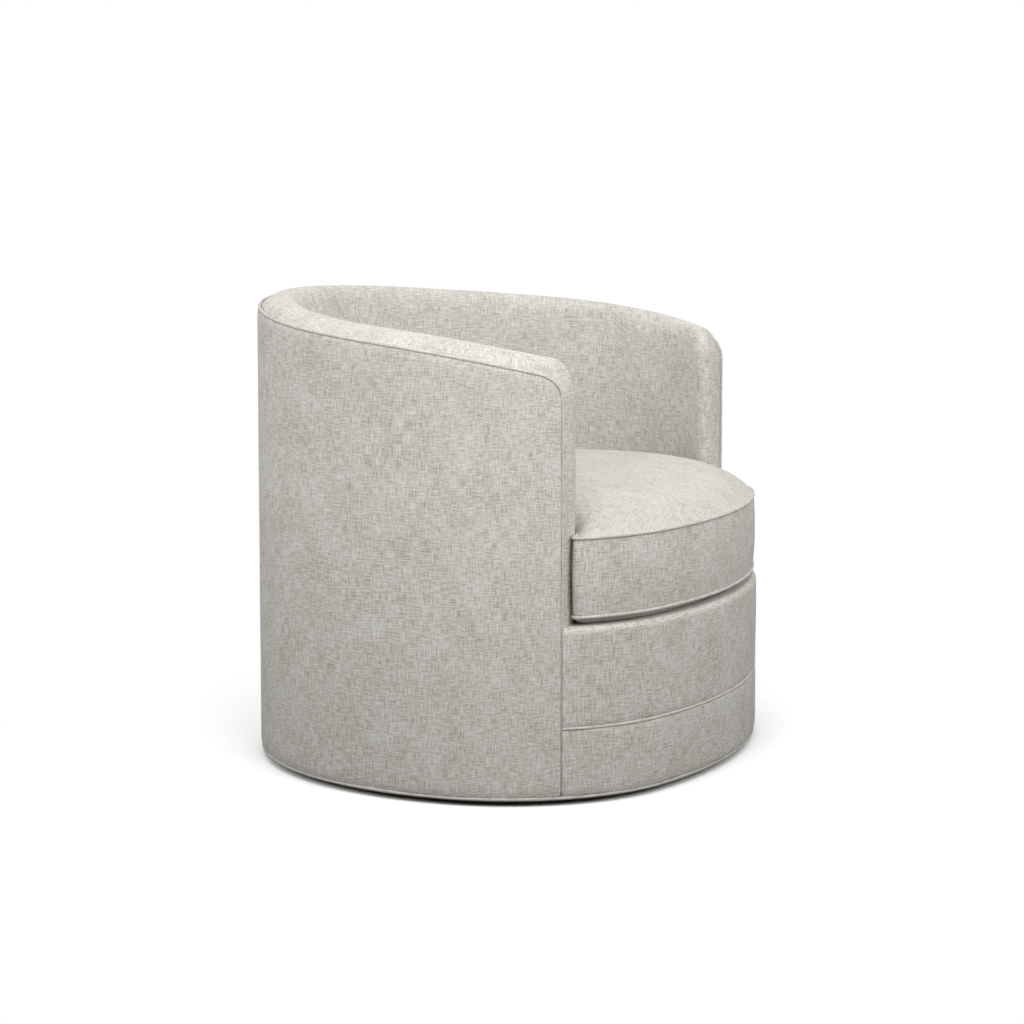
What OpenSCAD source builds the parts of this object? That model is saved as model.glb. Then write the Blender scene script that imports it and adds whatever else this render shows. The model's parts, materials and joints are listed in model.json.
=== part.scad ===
// Swivel barrel chair: an upholstered drum on a ball bearing swivel, with a loose seat cushion.
// The front faces -Y, the floor is z = 0, and the swivel turns about the Z axis.

/* [Drum] */
// Width across the widest place, twice the radius of the round back
chair_w = 850; // [790:5:910]
// Radius of the two rounded front corners of the plan
front_corner_r = 272; // [250:2:300]
// How far the front bow stands forward of the corner circles
bow_rise = 23; // [14:1:40]
// Clear height between the floor and the welt at the foot
floor_gap = 8; // [6:1:12]

/* [Rim] */
// Height of the rim welt at the arm fronts
rim_front_z = 592; // [570:2:610]
// Height of the rim welt beside the sitter
rim_side_z = 634; // [620:2:646]
// Height of the rim welt halfway to the back
rim_rear_z = 651; // [640:2:664]
// Height of the rim welt at the back
rim_back_z = 677; // [664:2:700]
// Thickness of the padded wall at the rim
wall_t = 62; // [56:1:68]
// Rise of the padded crest above the welt
crest_rise = 19; // [12:1:26]
// Radius of the turn that the welt makes at the top of each arm front
arm_corner_r = 25; // [16:1:34]
// How much thicker the inside back is at the deck than at the rim
back_pitch = 30; // [10:2:44]

/* [Arms and front] */
// Distance from the front of the bow back to the arm ends
arm_set_back = 134; // [120:1:150]
// How far the padded arm ends swell forward
arm_bulge = 6; // [4:1:12]
// How much the padded wall narrows at the arm ends, where its inner edge is rounded off
arm_narrowing = 14; // [6:1:18]
// Height of the front rail's soft top edge, level with the deck
deck_z = 247; // [236:1:258]
// Height of the welt across the front
front_welt_z = 108; // [90:2:130]
// Radius of the soft edge along the top of the front rail
rail_edge_r = 7; // [4:1:10]

/* [Cushion] */
// Height of the cushion's lower welt above the deck
cushion_foot = 15; // [10:1:20]
// Height of the boxing between the two welts
boxing_h = 110; // [96:1:124]
// Rise of the crown above the upper welt
crown_rise = 72; // [50:2:84]
// How far the welts are drawn in from the swelling of the boxing
draw_in = 4; // [2:0.5:6]
// Clearance between the cushion and the padded walls
cushion_clearance = 1; // [0.6:0.1:2]
// Radius of the two ears that stand in front of the arms
cushion_ear_r = 9; // [6:1:14]
// How far the boxing's fullest line stays in from the outer face of the drum
cushion_set_in = 0.5; // [0:0.5:3]

/* [Upholstery] */
// Thickness of the outside cover with its thin wadding
cover_t = 3; // [2.4:0.2:4]
// Thickness of the lining cover over the foam
lining_t = 1.5; // [1:0.1:2]
// Clearance between two soft layers
cloth_gap = 0.3; // [0.2:0.05:0.5]
// Diameter of the welt cord on the rim, the arm ends and the front
welt_d = 5; // [4:0.2:6]
// Diameter of the welt cord at the foot
foot_welt_d = 6; // [5:0.2:7]
// Diameter of the welt cord on the cushion
cushion_welt_d = 5; // [4:0.2:6]
// Thickness of the pad between springs and deck cover
deck_pad_t = 6; // [4:0.5:9]

/* [Frame] */
// Thickness of the bent outer panel
panel_t = 4; // [3:0.5:6]
// Thickness of the posts and rails across the wall
frame_t = 30; // [24:1:32]
// Width of the posts along the wall
post_w = 46; // [36:2:60]
// Height of the plywood ring at the foot
foot_ring_h = 30; // [24:1:36]
// Width of the plywood ring at the foot
foot_ring_w = 52; // [40:2:64]
// Depth of the arched top rail
top_rail_h = 24; // [18:1:32]
// Height of the seat ring and of the front rail's block
seat_ring_h = 34; // [26:1:44]
// Width of the seat ring
seat_ring_w = 28; // [20:1:34]
// Width of the two cross boards
cross_board_w = 64; // [50:2:74]
// Thickness of the two cross boards
cross_board_t = 22; // [18:1:26]
// Thickness of the dust cover under the cross boards
dust_cover_t = 1; // [0.6:0.2:2]
// Angle round from the front to the two posts at the sides
side_post_angle = 100; // [92:1:112]
// Angle round from the front to the two posts at the back quarters
rear_post_angle = 140; // [130:1:156]

/* [Springs] */
// Wire diameter of the sinuous springs
spring_wire_d = 3.6; // [3:0.2:4.4]
// Spacing of the sinuous springs
spring_pitch = 104; // [90:2:112]
// Width of a loop of the sinuous springs
spring_loop_w = 48; // [36:2:56]
// Radius of the turns of the sinuous springs
spring_turn_r = 11; // [9:0.5:13]
// Thickness of the clips that hold the springs
clip_t = 1; // [0.6:0.1:1.6]
// Width of the clips along the wire
clip_w = 16; // [12:1:20]
// Reach of a clip's foot on each side of the wire
clip_foot = 11; // [8:0.5:12]

/* [Swivel] */
// Diameter of the base disc
base_d = 500; // [420:10:540]
// Thickness of the base disc
base_t = 18; // [15:1:20]
// Height of the glides under the base disc
glide_h = 6; // [4:0.5:8]
// Diameter of the glides
glide_d = 30; // [22:1:38]
// Number of glides
glide_count = 6; // [4:1:8]
// Radius of the rounded edge on top of the base disc
base_edge_r = 4; // [2:0.5:6]
// Side of the two square bearing plates
plate_w = 210; // [190:5:230]
// Thickness of the bearing plates
plate_t = 3; // [2.4:0.2:4]
// Distance of the plates' screw holes from both centre lines
plate_hole = 85; // [78:1:88]
// Radius to which the plates' corners are rounded off
plate_corner_r = 138; // [132:1:144]
// Diameter of the screws and bolts through the plates
screw_d = 6; // [5:0.5:8]
// Radius of their pan heads
screw_head_r = 6; // [5:0.5:7]
// Height of their pan heads
screw_head_h = 3; // [2:0.2:3.6]
// Diameter of the circle on which the balls run
ball_circle_d = 132; // [120:2:144]
// Diameter of the balls
ball_d = 8; // [7:0.5:9]
// Height of each raised race
race_h = 4.6; // [4.2:0.1:5]
// Width of each raced ring and of the cage
race_w = 16; // [13:1:20]
// Number of balls in the cage
ball_count = 20; // [12:1:28]
// Thickness of the cage
cage_t = 1.4; // [1:0.1:1.8]
// Running clearance of the balls in their races and of the kingbolt
run_clearance = 0.06; // [0.03:0.01:0.09]
// Diameter of the kingbolt
kingbolt_d = 12; // [10:1:16]
// Width across the flats of the kingbolt's head and nut
kingbolt_hex = 19; // [17:1:24]
// Height of the kingbolt's head
kingbolt_head_h = 8; // [6:0.5:10]
// Diameter of the well in the base for the kingbolt's head
bolt_well_d = 34; // [30:1:44]
// Diameter of the washer under the lock nut
washer_d = 30; // [24:1:40]
// Thickness of that washer
washer_t = 2.5; // [1.6:0.1:3]
// Height of the lock nut
nut_h = 12; // [9:0.5:15]

/* [Hidden] */
$fn = 96;
over = 2;
over_angle = 1;
nut_hex_share = 0.7;
half_w = chair_w / 2;
back_r = half_w;
chair_d = half_w + front_corner_r + bow_rise;
corner_x = back_r - front_corner_r;
bow_angle = 2 * atan(bow_rise / corner_x);
bow_r = front_corner_r + corner_x / sin(bow_angle);
barrel_y = chair_d / 2 - back_r;
bow_y = barrel_y + corner_x / tan(bow_angle);
arm_y = arm_set_back - chair_d / 2;
reach = chair_w;

// Insets from the outer face of the drum, layer by layer
welt_in_share = 0.3;
panel_out = cover_t;
panel_in = panel_out + panel_t;
frame_in = panel_in + frame_t;
ring_in = frame_in + seat_ring_w;
foam_back = frame_in + cloth_gap;
foam_deep = lining_t + cloth_gap;
welt_inset = welt_d * welt_in_share;
rim_edge = welt_inset + welt_d / 2 + cloth_gap;
rail_drop = welt_d / 2 + panel_t;
welt_room = welt_d / 2 + cloth_gap;
front_welt_inset = panel_out - cloth_gap - welt_d / 2;

// Heights
foot_welt_top = floor_gap + foot_welt_d;
base_top = glide_h + base_t;
race_gap = cage_t + 2 * cloth_gap;
upper_plate_z = base_top + plate_t + 2 * race_h + race_gap;
board_z = upper_plate_z + plate_t;
foot_ring_z = board_z - foot_ring_h;
ball_z = base_top + plate_t + race_h + race_gap / 2;
deck_pad_z = deck_z - lining_t - deck_pad_t;
clip_hole = spring_wire_d / 2 + cloth_gap;
seat_ring_top = deck_pad_z - cloth_gap - clip_t - clip_hole - spring_wire_d / 2;
seat_ring_z = seat_ring_top - seat_ring_h;
rim_peak = rim_back_z + crest_rise;
arm_base_z = deck_z + cloth_gap;

// The side line of the rim: a curve through four heights, at these shares of the depth
rim_y_shares = [arm_y / chair_d, 0, 0.25, 0.5];
rim_heights = [rim_front_z, rim_side_z, rim_rear_z, rim_back_z];
function rim_factors(s, i) = let (k = rim_y_shares) [for (j = [0:3]) if (j != i) (s - k[j]) / (k[i] - k[j])];
function product(v) = v[0] * v[1] * v[2];
function rim_z(y) = let (s = y / chair_d)
    [for (i = [0:3]) rim_heights[i] * product(rim_factors(s, i))] * [1, 1, 1, 1];

// The plan of the drum: a round back, two corner arcs and a shallow bow, all tangent.
// The angle a is that of the outward normal, 0 at the front and 180 at the back.
function arc_r(a) = abs(a) < bow_angle ? bow_r : abs(a) < 90 ? front_corner_r : back_r;
function arc_x(a) = abs(a) < bow_angle || abs(a) >= 90 ? 0 : corner_x;
function arc_y(a) = abs(a) < bow_angle ? bow_y : barrel_y;
function turn(a) = a > 180 ? a - 360 : a < -180 ? a + 360 : a;
function side(a) = a < 0 ? -1 : 1;
function plan_at(a0, inset) = let (a = turn(a0))
    [side(a) * (arc_x(a) + (arc_r(a) - inset) * sin(abs(a))), arc_y(a) - (arc_r(a) - inset) * cos(a)];
function normal_at(a) = [sin(a), -cos(a)];

// The normal angle at which a line parallel to the drum crosses the depth y, near the arms
function angle_at(y, inset) = acos((barrel_y - y) / (front_corner_r - inset));
function wall_angle(share, inset) = let (a = angle_at(arm_y, inset)) a + (360 - 2 * a) * share;
function pitch_share(a) = let (b = abs(turn(a))) b > 90 ? pow(sin(b - 90), 2) : 0;

function unit(v) = v / norm(v);
function lerp(p, q, t) = p * (1 - t) + q * t;

// A solid between two open grids of points, the same rows and columns in both
module thick_sheet(upper, under) {
    rows = len(upper);
    cols = len(upper[0]);
    size = rows * cols;
    points = concat([for (r = upper) each r], [for (r = under) each r]);
    last = rows - 1;
    edge = cols - 1;
    polyhedron(points, concat(
        [for (i = [0:last - 1], j = [0:edge - 1]) each
            let (a = i * cols + j, b = a + 1, c = a + cols, d = c + 1) [[a, b, d], [a, d, c]]],
        [for (i = [0:last - 1], j = [0:edge - 1]) each
            let (a = size + i * cols + j, b = a + 1, c = a + cols, d = c + 1) [[a, d, b], [a, c, d]]],
        [for (i = [0:last - 1]) each let (a = i * cols, b = a + cols)
            [[a, b, size + b], [a, size + b, size + a]]],
        [for (i = [0:last - 1]) each let (a = i * cols + edge, b = a + cols)
            [[a, size + b, b], [a, size + a, size + b]]],
        [for (j = [0:edge - 1]) each [[j, size + j + 1, j + 1], [j, size + j, size + j + 1]]],
        [for (j = [0:edge - 1]) each let (a = last * cols + j)
            [[a, a + 1, size + a + 1], [a, size + a + 1, size + a]]]
    ));
}

// A solid through closed loops of points, closed at both ends by fans from the given middles
module skin(loops, first, last) {
    n = len(loops[0]);
    top = len(loops) - 1;
    points = concat([first], [last], [for (l = loops) each l]);
    polyhedron(points, concat(
        [for (i = [0:top - 1], j = [0:n - 1]) each
            let (k = (j + 1) % n, a = 2 + i * n + j, b = 2 + i * n + k) [[a, a + n, b + n], [a, b + n, b]]],
        [for (j = [0:n - 1]) [0, 2 + j, 2 + (j + 1) % n]],
        [for (j = [0:n - 1]) [1, 2 + top * n + (j + 1) % n, 2 + top * n + j]]
    ));
}

// A thin bowl between two skins of closed loops, open at the first loop
module bowl(outer, inner, outer_middle, inner_middle) {
    n = len(outer[0]);
    m = len(outer);
    points = concat([outer_middle, inner_middle], [for (l = outer) each l], [for (l = inner) each l]);
    base = 2 + m * n;
    polyhedron(points, concat(
        [for (i = [0:m - 2], j = [0:n - 1]) each
            let (k = (j + 1) % n, a = 2 + i * n + j, b = 2 + i * n + k) [[a, a + n, b + n], [a, b + n, b]]],
        [for (i = [0:m - 2], j = [0:n - 1]) each
            let (k = (j + 1) % n, a = base + i * n + j, b = base + i * n + k)
                [[a, b + n, a + n], [a, b, b + n]]],
        [for (j = [0:n - 1]) [0, 2 + (m - 1) * n + (j + 1) % n, 2 + (m - 1) * n + j]],
        [for (j = [0:n - 1]) [1, base + (m - 1) * n + j, base + (m - 1) * n + (j + 1) % n]],
        [for (j = [0:n - 1]) each let (k = (j + 1) % n) [[2 + j, 2 + k, base + k], [2 + j, base + k, base + j]]]
    ));
}

// A closed wall between two skins of closed loops, open at both ends
module tube_wall(outer, inner) {
    n = len(outer[0]);
    m = len(outer);
    size = m * n;
    points = concat([for (l = outer) each l], [for (l = inner) each l]);
    polyhedron(points, concat(
        [for (i = [0:m - 2], j = [0:n - 1]) each
            let (k = (j + 1) % n, a = i * n + j, b = i * n + k) [[a, a + n, b + n], [a, b + n, b]]],
        [for (i = [0:m - 2], j = [0:n - 1]) each
            let (k = (j + 1) % n, a = size + i * n + j, b = size + i * n + k)
                [[a, b + n, a + n], [a, b, b + n]]],
        [for (j = [0:n - 1]) each let (k = (j + 1) % n) [[j, k, size + k], [j, size + k, size + j]]],
        [for (j = [0:n - 1]) each let (k = (j + 1) % n, a = (m - 1) * n)
            [[a + k, a + j, size + a + j], [a + k, size + a + j, size + a + k]]]
    ));
}

// A cord along a route of [place, sideways direction] pairs, open or closed
module cord(route, d, closed = false, sides = 8) {
    n = len(route);
    loops = [for (i = [0:n - 1]) let (
        a = closed ? (i + n - 1) % n : max(i - 1, 0),
        b = closed ? (i + 1) % n : min(i + 1, n - 1),
        along = unit(route[b][0] - route[a][0]),
        u = unit(route[i][1] - along * (route[i][1] * along)),
        v = cross(along, u))
        [for (k = [0:sides - 1]) let (t = (k + 0.5) * 360 / sides)
            route[i][0] + (u * cos(t) + v * sin(t)) * d / 2]];
    if (closed) {
        points = [for (l = loops) each l];
        polyhedron(points, [for (i = [0:n - 1], j = [0:sides - 1]) each let (
            p = (i + 1) % n, k = (j + 1) % sides,
            a = i * sides + j, b = i * sides + k, c = p * sides + j, e = p * sides + k)
            [[a, c, e], [a, e, b]]]);
    } else {
        skin(loops, route[0][0], route[n - 1][0]);
    }
}

// Sweeps a section drawn in [-inset, height] along the plan, between two normal angles
module sweep(from, to) {
    stops = [-270, -90, -bow_angle, bow_angle, 90, 270, 360 - bow_angle];
    for (i = [0:5]) {
        a = max(from, stops[i]);
        b = min(to, stops[i + 1]);
        if (a < b) {
            m = turn((a + b) / 2);
            translate([side(m) * arc_x(m), arc_y(m)]) rotate([0, 0, a - 90])
                rotate_extrude(angle = b - a) translate([arc_r(m), 0]) children();
        }
    }
}

module band(outer, inner, bottom, top) {
    translate([-inner, bottom]) square([inner - outer, top - bottom]);
}

// A disc whose upper edge is rounded
module soft_disc(radius, h, r) {
    rotate_extrude() {
        square([radius - r, h]);
        square([radius, h - r]);
        translate([radius - r, h - r]) circle(r);
    }
}

// A solid that fills the plan inside an inset, with its upper edge rounded if r isn't zero
module drum(inset, bottom, top, r = 0) {
    h = top - bottom;
    module disc(radius) {
        if (r > 0) soft_disc(radius, h, r);
        else cylinder(r = radius, h = h);
    }
    translate([0, bow_y, bottom]) intersection() {
        disc(bow_r - inset);
        translate([-reach, -2 * bow_r, 0]) cube([2 * reach, 2 * bow_r - corner_x / tan(bow_angle) + over, h]);
        linear_extrude(h)
            polygon([[0, 0], 2 * bow_r * normal_at(-bow_angle), 2 * bow_r * normal_at(bow_angle)]);
    }
    for (x = [-corner_x, corner_x]) translate([x, barrel_y, bottom]) disc(front_corner_r - inset);
    translate([0, barrel_y, bottom]) intersection() {
        disc(back_r - inset);
        translate([-reach, 0, 0]) cube([2 * reach, reach, h]);
    }
}

// A wall that follows the plan between two insets
module ring(outer, inner, bottom, top) {
    difference() {
        drum(outer, bottom, top);
        drum(inner, bottom - over, top + over);
    }
}

module in_front() {
    intersection() {
        children();
        ahead(arm_y - welt_room);
    }
}

// Everything in front of a depth y
module ahead(y) {
    translate([-reach, y - 2 * reach, -reach]) cube([2 * reach, 2 * reach, 4 * reach]);
}

// The side view of the barrel, lowered by drop, set back from the arm ends and rounded at their tops
corner_steps = 6;
rim_steps = 14;
function corner_points(drop, back, r) = [for (i = [0:corner_steps]) let (t = 90 * i / corner_steps)
    [arm_y + back + r * (1 - cos(t)), rim_z(arm_y) - drop - r * (1 - sin(t))]];
function rim_points(drop, from) = [for (i = [1:rim_steps])
    let (y = lerp(from, chair_d / 2 + over, i / rim_steps)) [y, rim_z(y) - drop]];

module side_view(drop, back, r, bottom) {
    start = arm_y + back + r;
    rotate([90, 0, 90]) linear_extrude(chair_w + 2 * over, center = true)
        polygon(concat([[arm_y + back, bottom]],
            r > 0 ? corner_points(drop, back, r) : [[start, rim_z(start) - drop]],
            rim_points(drop, start), [[chair_d / 2 + over, bottom]]));
}

// The padded wall's section: how far in from the rim's edge, and how far up as a share of the crest
rim_in_shares = [0, 0.09, 0.24, 0.42, 0.58, 0.72, 0.84, 0.93, 0.985, 1];
rim_up_shares = [0.04, 0.36, 0.68, 0.88, 0.98, 1, 0.9, 0.62, 0.18, -0.4];
inside_down_shares = [0.3, 0.65, 1];
rim_last = len(rim_in_shares) - 1;
wall_cols = rim_last + len(inside_down_shares);
wall_rows = 46;
rim_section = [for (j = [0:rim_last])
    [lerp(rim_edge, wall_t, rim_in_shares[j]), rim_up_shares[j] * crest_rise]];
function rim_inward(j) = let (
    along = unit(rim_section[min(j + 1, rim_last)] - rim_section[max(j - 1, 0)]))
    j >= rim_last ? [-1, 0] : [along[1], -along[0]];

// One point of the lining's face, or of a layer that lies deep under it; the first and last rows narrow
function end_share(share) = share > 0 && share < 1 ? 1 : 1 - arm_narrowing / (wall_t - rim_edge);
function lining_point(share, j, deep) = let (
    k = min(j, rim_last),
    full = rim_section[k] + deep * rim_inward(k),
    q = [lerp(rim_edge, full[0], end_share(share)), full[1]],
    a = wall_angle(share, q[0]),
    up = rim_z(plan_at(a, q[0])[1]),
    z = j > rim_last ? lerp(up + q[1], arm_base_z, inside_down_shares[j - rim_last - 1]) : up + q[1],
    lean = back_pitch * pitch_share(a) * max(0, (up - z) / (up - deck_z)),
    p = plan_at(a, q[0] + lean))
    [p[0], p[1], z];
function lining_grid(deep) =
    [for (i = [0:wall_rows]) [for (j = [0:wall_cols]) lining_point(i / wall_rows, j, deep)]];

// The foam's hidden side: over the top rail, then down the inner faces of the posts
foam_back_drop_shares = [0, 0, 0, 0, 0, 0, 0.06, 0.1, 0.14, 0.2, 0.3, 0.65, 1];
function foam_back_point(share, j) = let (
    inset = min(rim_section[min(j, rim_last)][0], foam_back),
    p = plan_at(wall_angle(share, inset), inset),
    top = rim_z(p[1]) - rail_drop + cloth_gap)
    [p[0], p[1], lerp(top, arm_base_z, foam_back_drop_shares[j])];

// The end face of an arm: its outline follows the wall's section, and loops of it shrink to a swelling
arm_outer_x = lining_point(0, 0, 0)[0];
arm_inner_x = lining_point(0, rim_last, 0)[0];
arm_mid_x = (arm_outer_x + arm_inner_x) / 2;
arm_spine_z = rim_front_z - wall_t;
arm_side_steps = 4;
swell_shares = [0, 0.12, 0.34, 0.68];
swell_out_shares = [0, 0.5, 0.86, 1];
function arm_outline(deep) = concat(
    [for (j = [0:wall_cols]) let (p = lining_point(0, j, deep)) [p[0], max(p[2], arm_base_z + deep)]],
    [[arm_mid_x, arm_base_z + deep], [arm_outer_x - deep, arm_base_z + deep]],
    [for (s = [1:arm_side_steps - 1])
        [arm_outer_x - deep, lerp(arm_base_z, rim_z(arm_y), s / arm_side_steps)]]);
function arm_loop(i, deep) = [for (p = arm_outline(deep)) let (
    q = lerp(p, [arm_mid_x, min(p[1], arm_spine_z)], swell_shares[i]))
    [q[0], arm_y - cloth_gap - (arm_bulge - cloth_gap - deep) * swell_out_shares[i], q[1]]];
function arm_loops(deep) = [for (i = [0:3]) arm_loop(i, deep)];
function arm_middle(deep) = [arm_mid_x, arm_y - arm_bulge + deep, (arm_spine_z + deck_z) / 2];

// Covers, panels and welts of the drum
module outside_cover() {
    color("#c9c5ba") intersection() {
        ring(0, cover_t, foot_welt_top + cloth_gap, rim_peak);
        side_view(welt_room, welt_room, arm_corner_r, 0);
    }
}

module barrel_panel() {
    color("#8a6a45") intersection() {
        ring(panel_out, panel_in, foot_welt_top, rim_peak);
        side_view(rail_drop, welt_room, arm_corner_r, 0);
    }
}

module front_panel() {
    color("#8a6a45") in_front() ring(panel_out, panel_in, foot_welt_top, seat_ring_top);
}

function welt_place(a, z, inset = welt_inset) = let (p = plan_at(a, inset), n = normal_at(a))
    [[p[0], p[1], z], [n[0], n[1], 0]];
welt_up_shares = [0, 0.5, 0.96];
rim_half = concat(
    [for (s = welt_up_shares) welt_place(angle_at(arm_y, welt_inset),
        lerp(foot_welt_top + cloth_gap, rim_z(arm_y) - arm_corner_r, s))],
    [for (p = corner_points(0, 0, arm_corner_r)) welt_place(angle_at(p[0], welt_inset), p[1])],
    [for (i = [1:wall_rows / 2 - 1])
        let (a = wall_angle(i / wall_rows, welt_inset), y = plan_at(a, welt_inset)[1])
        if (y > arm_y + arm_corner_r + welt_d) welt_place(a, rim_z(y))]);
function mirrored_x(place) = [for (v = place) [-v[0], v[1], v[2]]];
rim_route = concat(rim_half, [welt_place(180, rim_back_z)],
    [for (i = [len(rim_half) - 1:-1:0]) mirrored_x(rim_half[i])]);

module rim_welt() {
    color("#d3cfc4") cord(rim_route, welt_d);
}

module foot_welt() {
    color("#d3cfc4") sweep(-bow_angle, 360 - bow_angle)
        translate([-foot_welt_d * welt_in_share, floor_gap + foot_welt_d / 2]) circle(d = foot_welt_d);
}

front_steps = 36;
module front_welt() {
    end = angle_at(arm_y - welt_room, front_welt_inset);
    color("#d3cfc4") cord([for (i = [0:front_steps])
        welt_place(lerp(-end, end, i / front_steps), front_welt_z, front_welt_inset)], welt_d);
}

module front_upper_cover() {
    color("#c9c5ba") in_front() difference() {
        drum(0, front_welt_z + welt_room, deck_z, rail_edge_r);
        drum(cover_t, 0, deck_z - cover_t, rail_edge_r - cover_t);
        drum(frame_in, 0, deck_z + over);
    }
}

module front_lower_cover() {
    color("#c9c5ba") in_front() ring(0, cover_t, foot_welt_top + cloth_gap, front_welt_z - welt_room);
}

module front_edge_pad() {
    color("#e8dfae") in_front() difference() {
        drum(cover_t, seat_ring_top, deck_z - cover_t, rail_edge_r - cover_t);
        drum(frame_in, 0, deck_z + over);
    }
}

module inside_foam() {
    color("#e8dfae") thick_sheet(lining_grid(foam_deep),
        [for (i = [0:wall_rows]) [for (j = [0:wall_cols]) foam_back_point(i / wall_rows, j)]]);
}

module inside_lining() {
    color("#c9c5ba") thick_sheet(lining_grid(0), lining_grid(lining_t));
}

module arm_end_pad() {
    color("#e8dfae")
        skin(arm_loops(foam_deep), [arm_mid_x, arm_y - cloth_gap, arm_middle(0)[2]], arm_middle(foam_deep));
}

module arm_end_cover() {
    color("#c9c5ba") bowl(arm_loops(0), arm_loops(lining_t), arm_middle(0), arm_middle(lining_t));
}

// Timber of the barrel
module timber_in_wall(drop) {
    color("#c8a878") intersection() {
        children();
        side_view(drop, 0, 0, -over);
    }
}

module back_post(a) {
    half = atan(post_w / 2 / (arc_r(a) - frame_in));
    timber_in_wall(rail_drop + top_rail_h)
        sweep(a - half, a + half) band(panel_in, frame_in, board_z, rim_peak);
}

module arm_post() {
    a = angle_at(arm_y, frame_in);
    timber_in_wall(rail_drop + top_rail_h) sweep(a - over_angle, a + atan(post_w / (front_corner_r - frame_in)))
        band(panel_in, frame_in, board_z, rim_peak);
}

module front_post(hand) {
    half = atan(post_w / 2 / bow_r);
    a = hand * bow_angle / 2;
    color("#c8a878") sweep(a - half, a + half) band(panel_in, frame_in, board_z, seat_ring_z);
}

module top_rail() {
    color("#b98d5a") difference() {
        intersection() {
            ring(panel_in, frame_in, deck_z, rim_peak);
            side_view(rail_drop, 0, arm_corner_r, 0);
        }
        side_view(rail_drop + top_rail_h, 0, 0, -over);
    }
}

module seat_ring() {
    color("#b98d5a") ring(frame_in, ring_in, seat_ring_z, seat_ring_top);
}

module front_rail() {
    color("#c8a878") in_front() ring(panel_in, frame_in, seat_ring_z, seat_ring_top);
}

module foot_ring() {
    color("#b98d5a") ring(panel_in, panel_in + foot_ring_w, foot_ring_z, board_z);
}

module cross_board(hand) {
    color("#c8a878") difference() {
        intersection() {
            drum(frame_in + cloth_gap, board_z, board_z + cross_board_t);
            translate([hand * plate_hole - cross_board_w / 2, -reach, 0])
                cube([cross_board_w, 2 * reach, reach]);
        }
        translate([0, 0, board_z - over]) plate_holes(cross_board_t + 2 * over);
    }
}

module dust_cover() {
    color("#26262a") difference() {
        drum(panel_in + foot_ring_w + cloth_gap, board_z - dust_cover_t, board_z);
        translate([0, 0, board_z - dust_cover_t - over])
            cylinder(r = plate_corner_r + cover_t, h = dust_cover_t + 2 * over);
    }
}

// Springs: runs across the seat joined by half turns, the end runs held by clips on the seat ring
run_w = spring_loop_w - 2 * spring_turn_r;
spring_seat = frame_in + seat_ring_w / 2;
function spring_x(i) = (i - 3) * spring_pitch;
function back_line(x) = barrel_y + sqrt(pow(back_r - spring_seat, 2) - x * x);
function front_line(x) = abs(x) < (bow_r - spring_seat) * sin(bow_angle) ?
    bow_y - sqrt(pow(bow_r - spring_seat, 2) - x * x) :
    barrel_y - sqrt(pow(front_corner_r - spring_seat, 2) - pow(abs(x) - corner_x, 2));
function spring_turns(x) = floor((back_line(x) - front_line(x)) / 2 / spring_turn_r);
function spring_mid(x) = (back_line(x) + front_line(x)) / 2;

module spring(i) {
    x = spring_x(i);
    turns = spring_turns(x);
    color("#8f9296") translate([x, spring_mid(x) - turns * spring_turn_r, seat_ring_top + spring_wire_d / 2]) {
        for (k = [0:turns]) translate([-run_w / 2, 2 * k * spring_turn_r, 0]) rotate([0, 90, 0])
            cylinder(d = spring_wire_d, h = run_w);
        for (k = [0:turns - 1]) let (hand = k % 2 == 0 ? 1 : -1)
            translate([hand * run_w / 2, (2 * k + 1) * spring_turn_r, 0]) rotate([0, 0, hand * -90])
                rotate_extrude(angle = 180) translate([spring_turn_r, 0]) circle(d = spring_wire_d);
    }
}

// One clip: a strap bent over the end run, with a flat foot on both sides
module clip(x, y) {
    r = clip_hole + clip_t;
    translate([x - clip_w / 2, y, seat_ring_top]) rotate([90, 0, 90]) linear_extrude(clip_w) difference() {
        union() {
            translate([-clip_foot, 0]) square([2 * clip_foot, clip_t]);
            translate([0, spring_wire_d / 2]) circle(r);
            translate([-r, 0]) square([2 * r, spring_wire_d / 2]);
        }
        translate([0, spring_wire_d / 2]) circle(clip_hole);
        translate([-clip_hole, -r - over]) square([2 * clip_hole, r + over + spring_wire_d / 2]);
        translate([-reach, -reach]) square([2 * reach, reach]);
    }
}

module spring_clips(hand) {
    color("#b7b9bd") for (i = [1:5])
        clip(spring_x(i), spring_mid(spring_x(i)) + hand * spring_turns(spring_x(i)) * spring_turn_r);
}

module deck_pad() {
    color("#e9e6df") drum(frame_in + cloth_gap, deck_pad_z, deck_z - lining_t);
}

module deck_cover() {
    color("#c9c5ba") drum(frame_in + cloth_gap, deck_z - lining_t, deck_z);
}

// The swivel: a base disc on glides, two bearing plates, a ring of caged balls and a kingbolt
module plate_holes(h) {
    for (x = [-plate_hole, plate_hole], y = [-plate_hole, plate_hole])
        translate([x, y, 0]) cylinder(d = screw_d, h = h);
}

module base_disc() {
    color("#3b3632") translate([0, 0, glide_h]) difference() {
        soft_disc(base_d / 2, base_t, base_edge_r);
        translate([0, 0, -over]) cylinder(d = bolt_well_d, h = base_t + 2 * over);
        translate([0, 0, base_t / 2]) plate_holes(base_t);
    }
}

module base_glides() {
    r = glide_d / 2;
    edge = glide_h / 3;
    color("#6f6f73") for (i = [0:glide_count - 1]) rotate([0, 0, i * 360 / glide_count])
        translate([base_d / 2 - glide_d, 0, 0]) rotate_extrude()
            polygon([[0, 0], [r - edge, 0], [r, edge], [r, glide_h], [0, glide_h]]);
}

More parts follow.
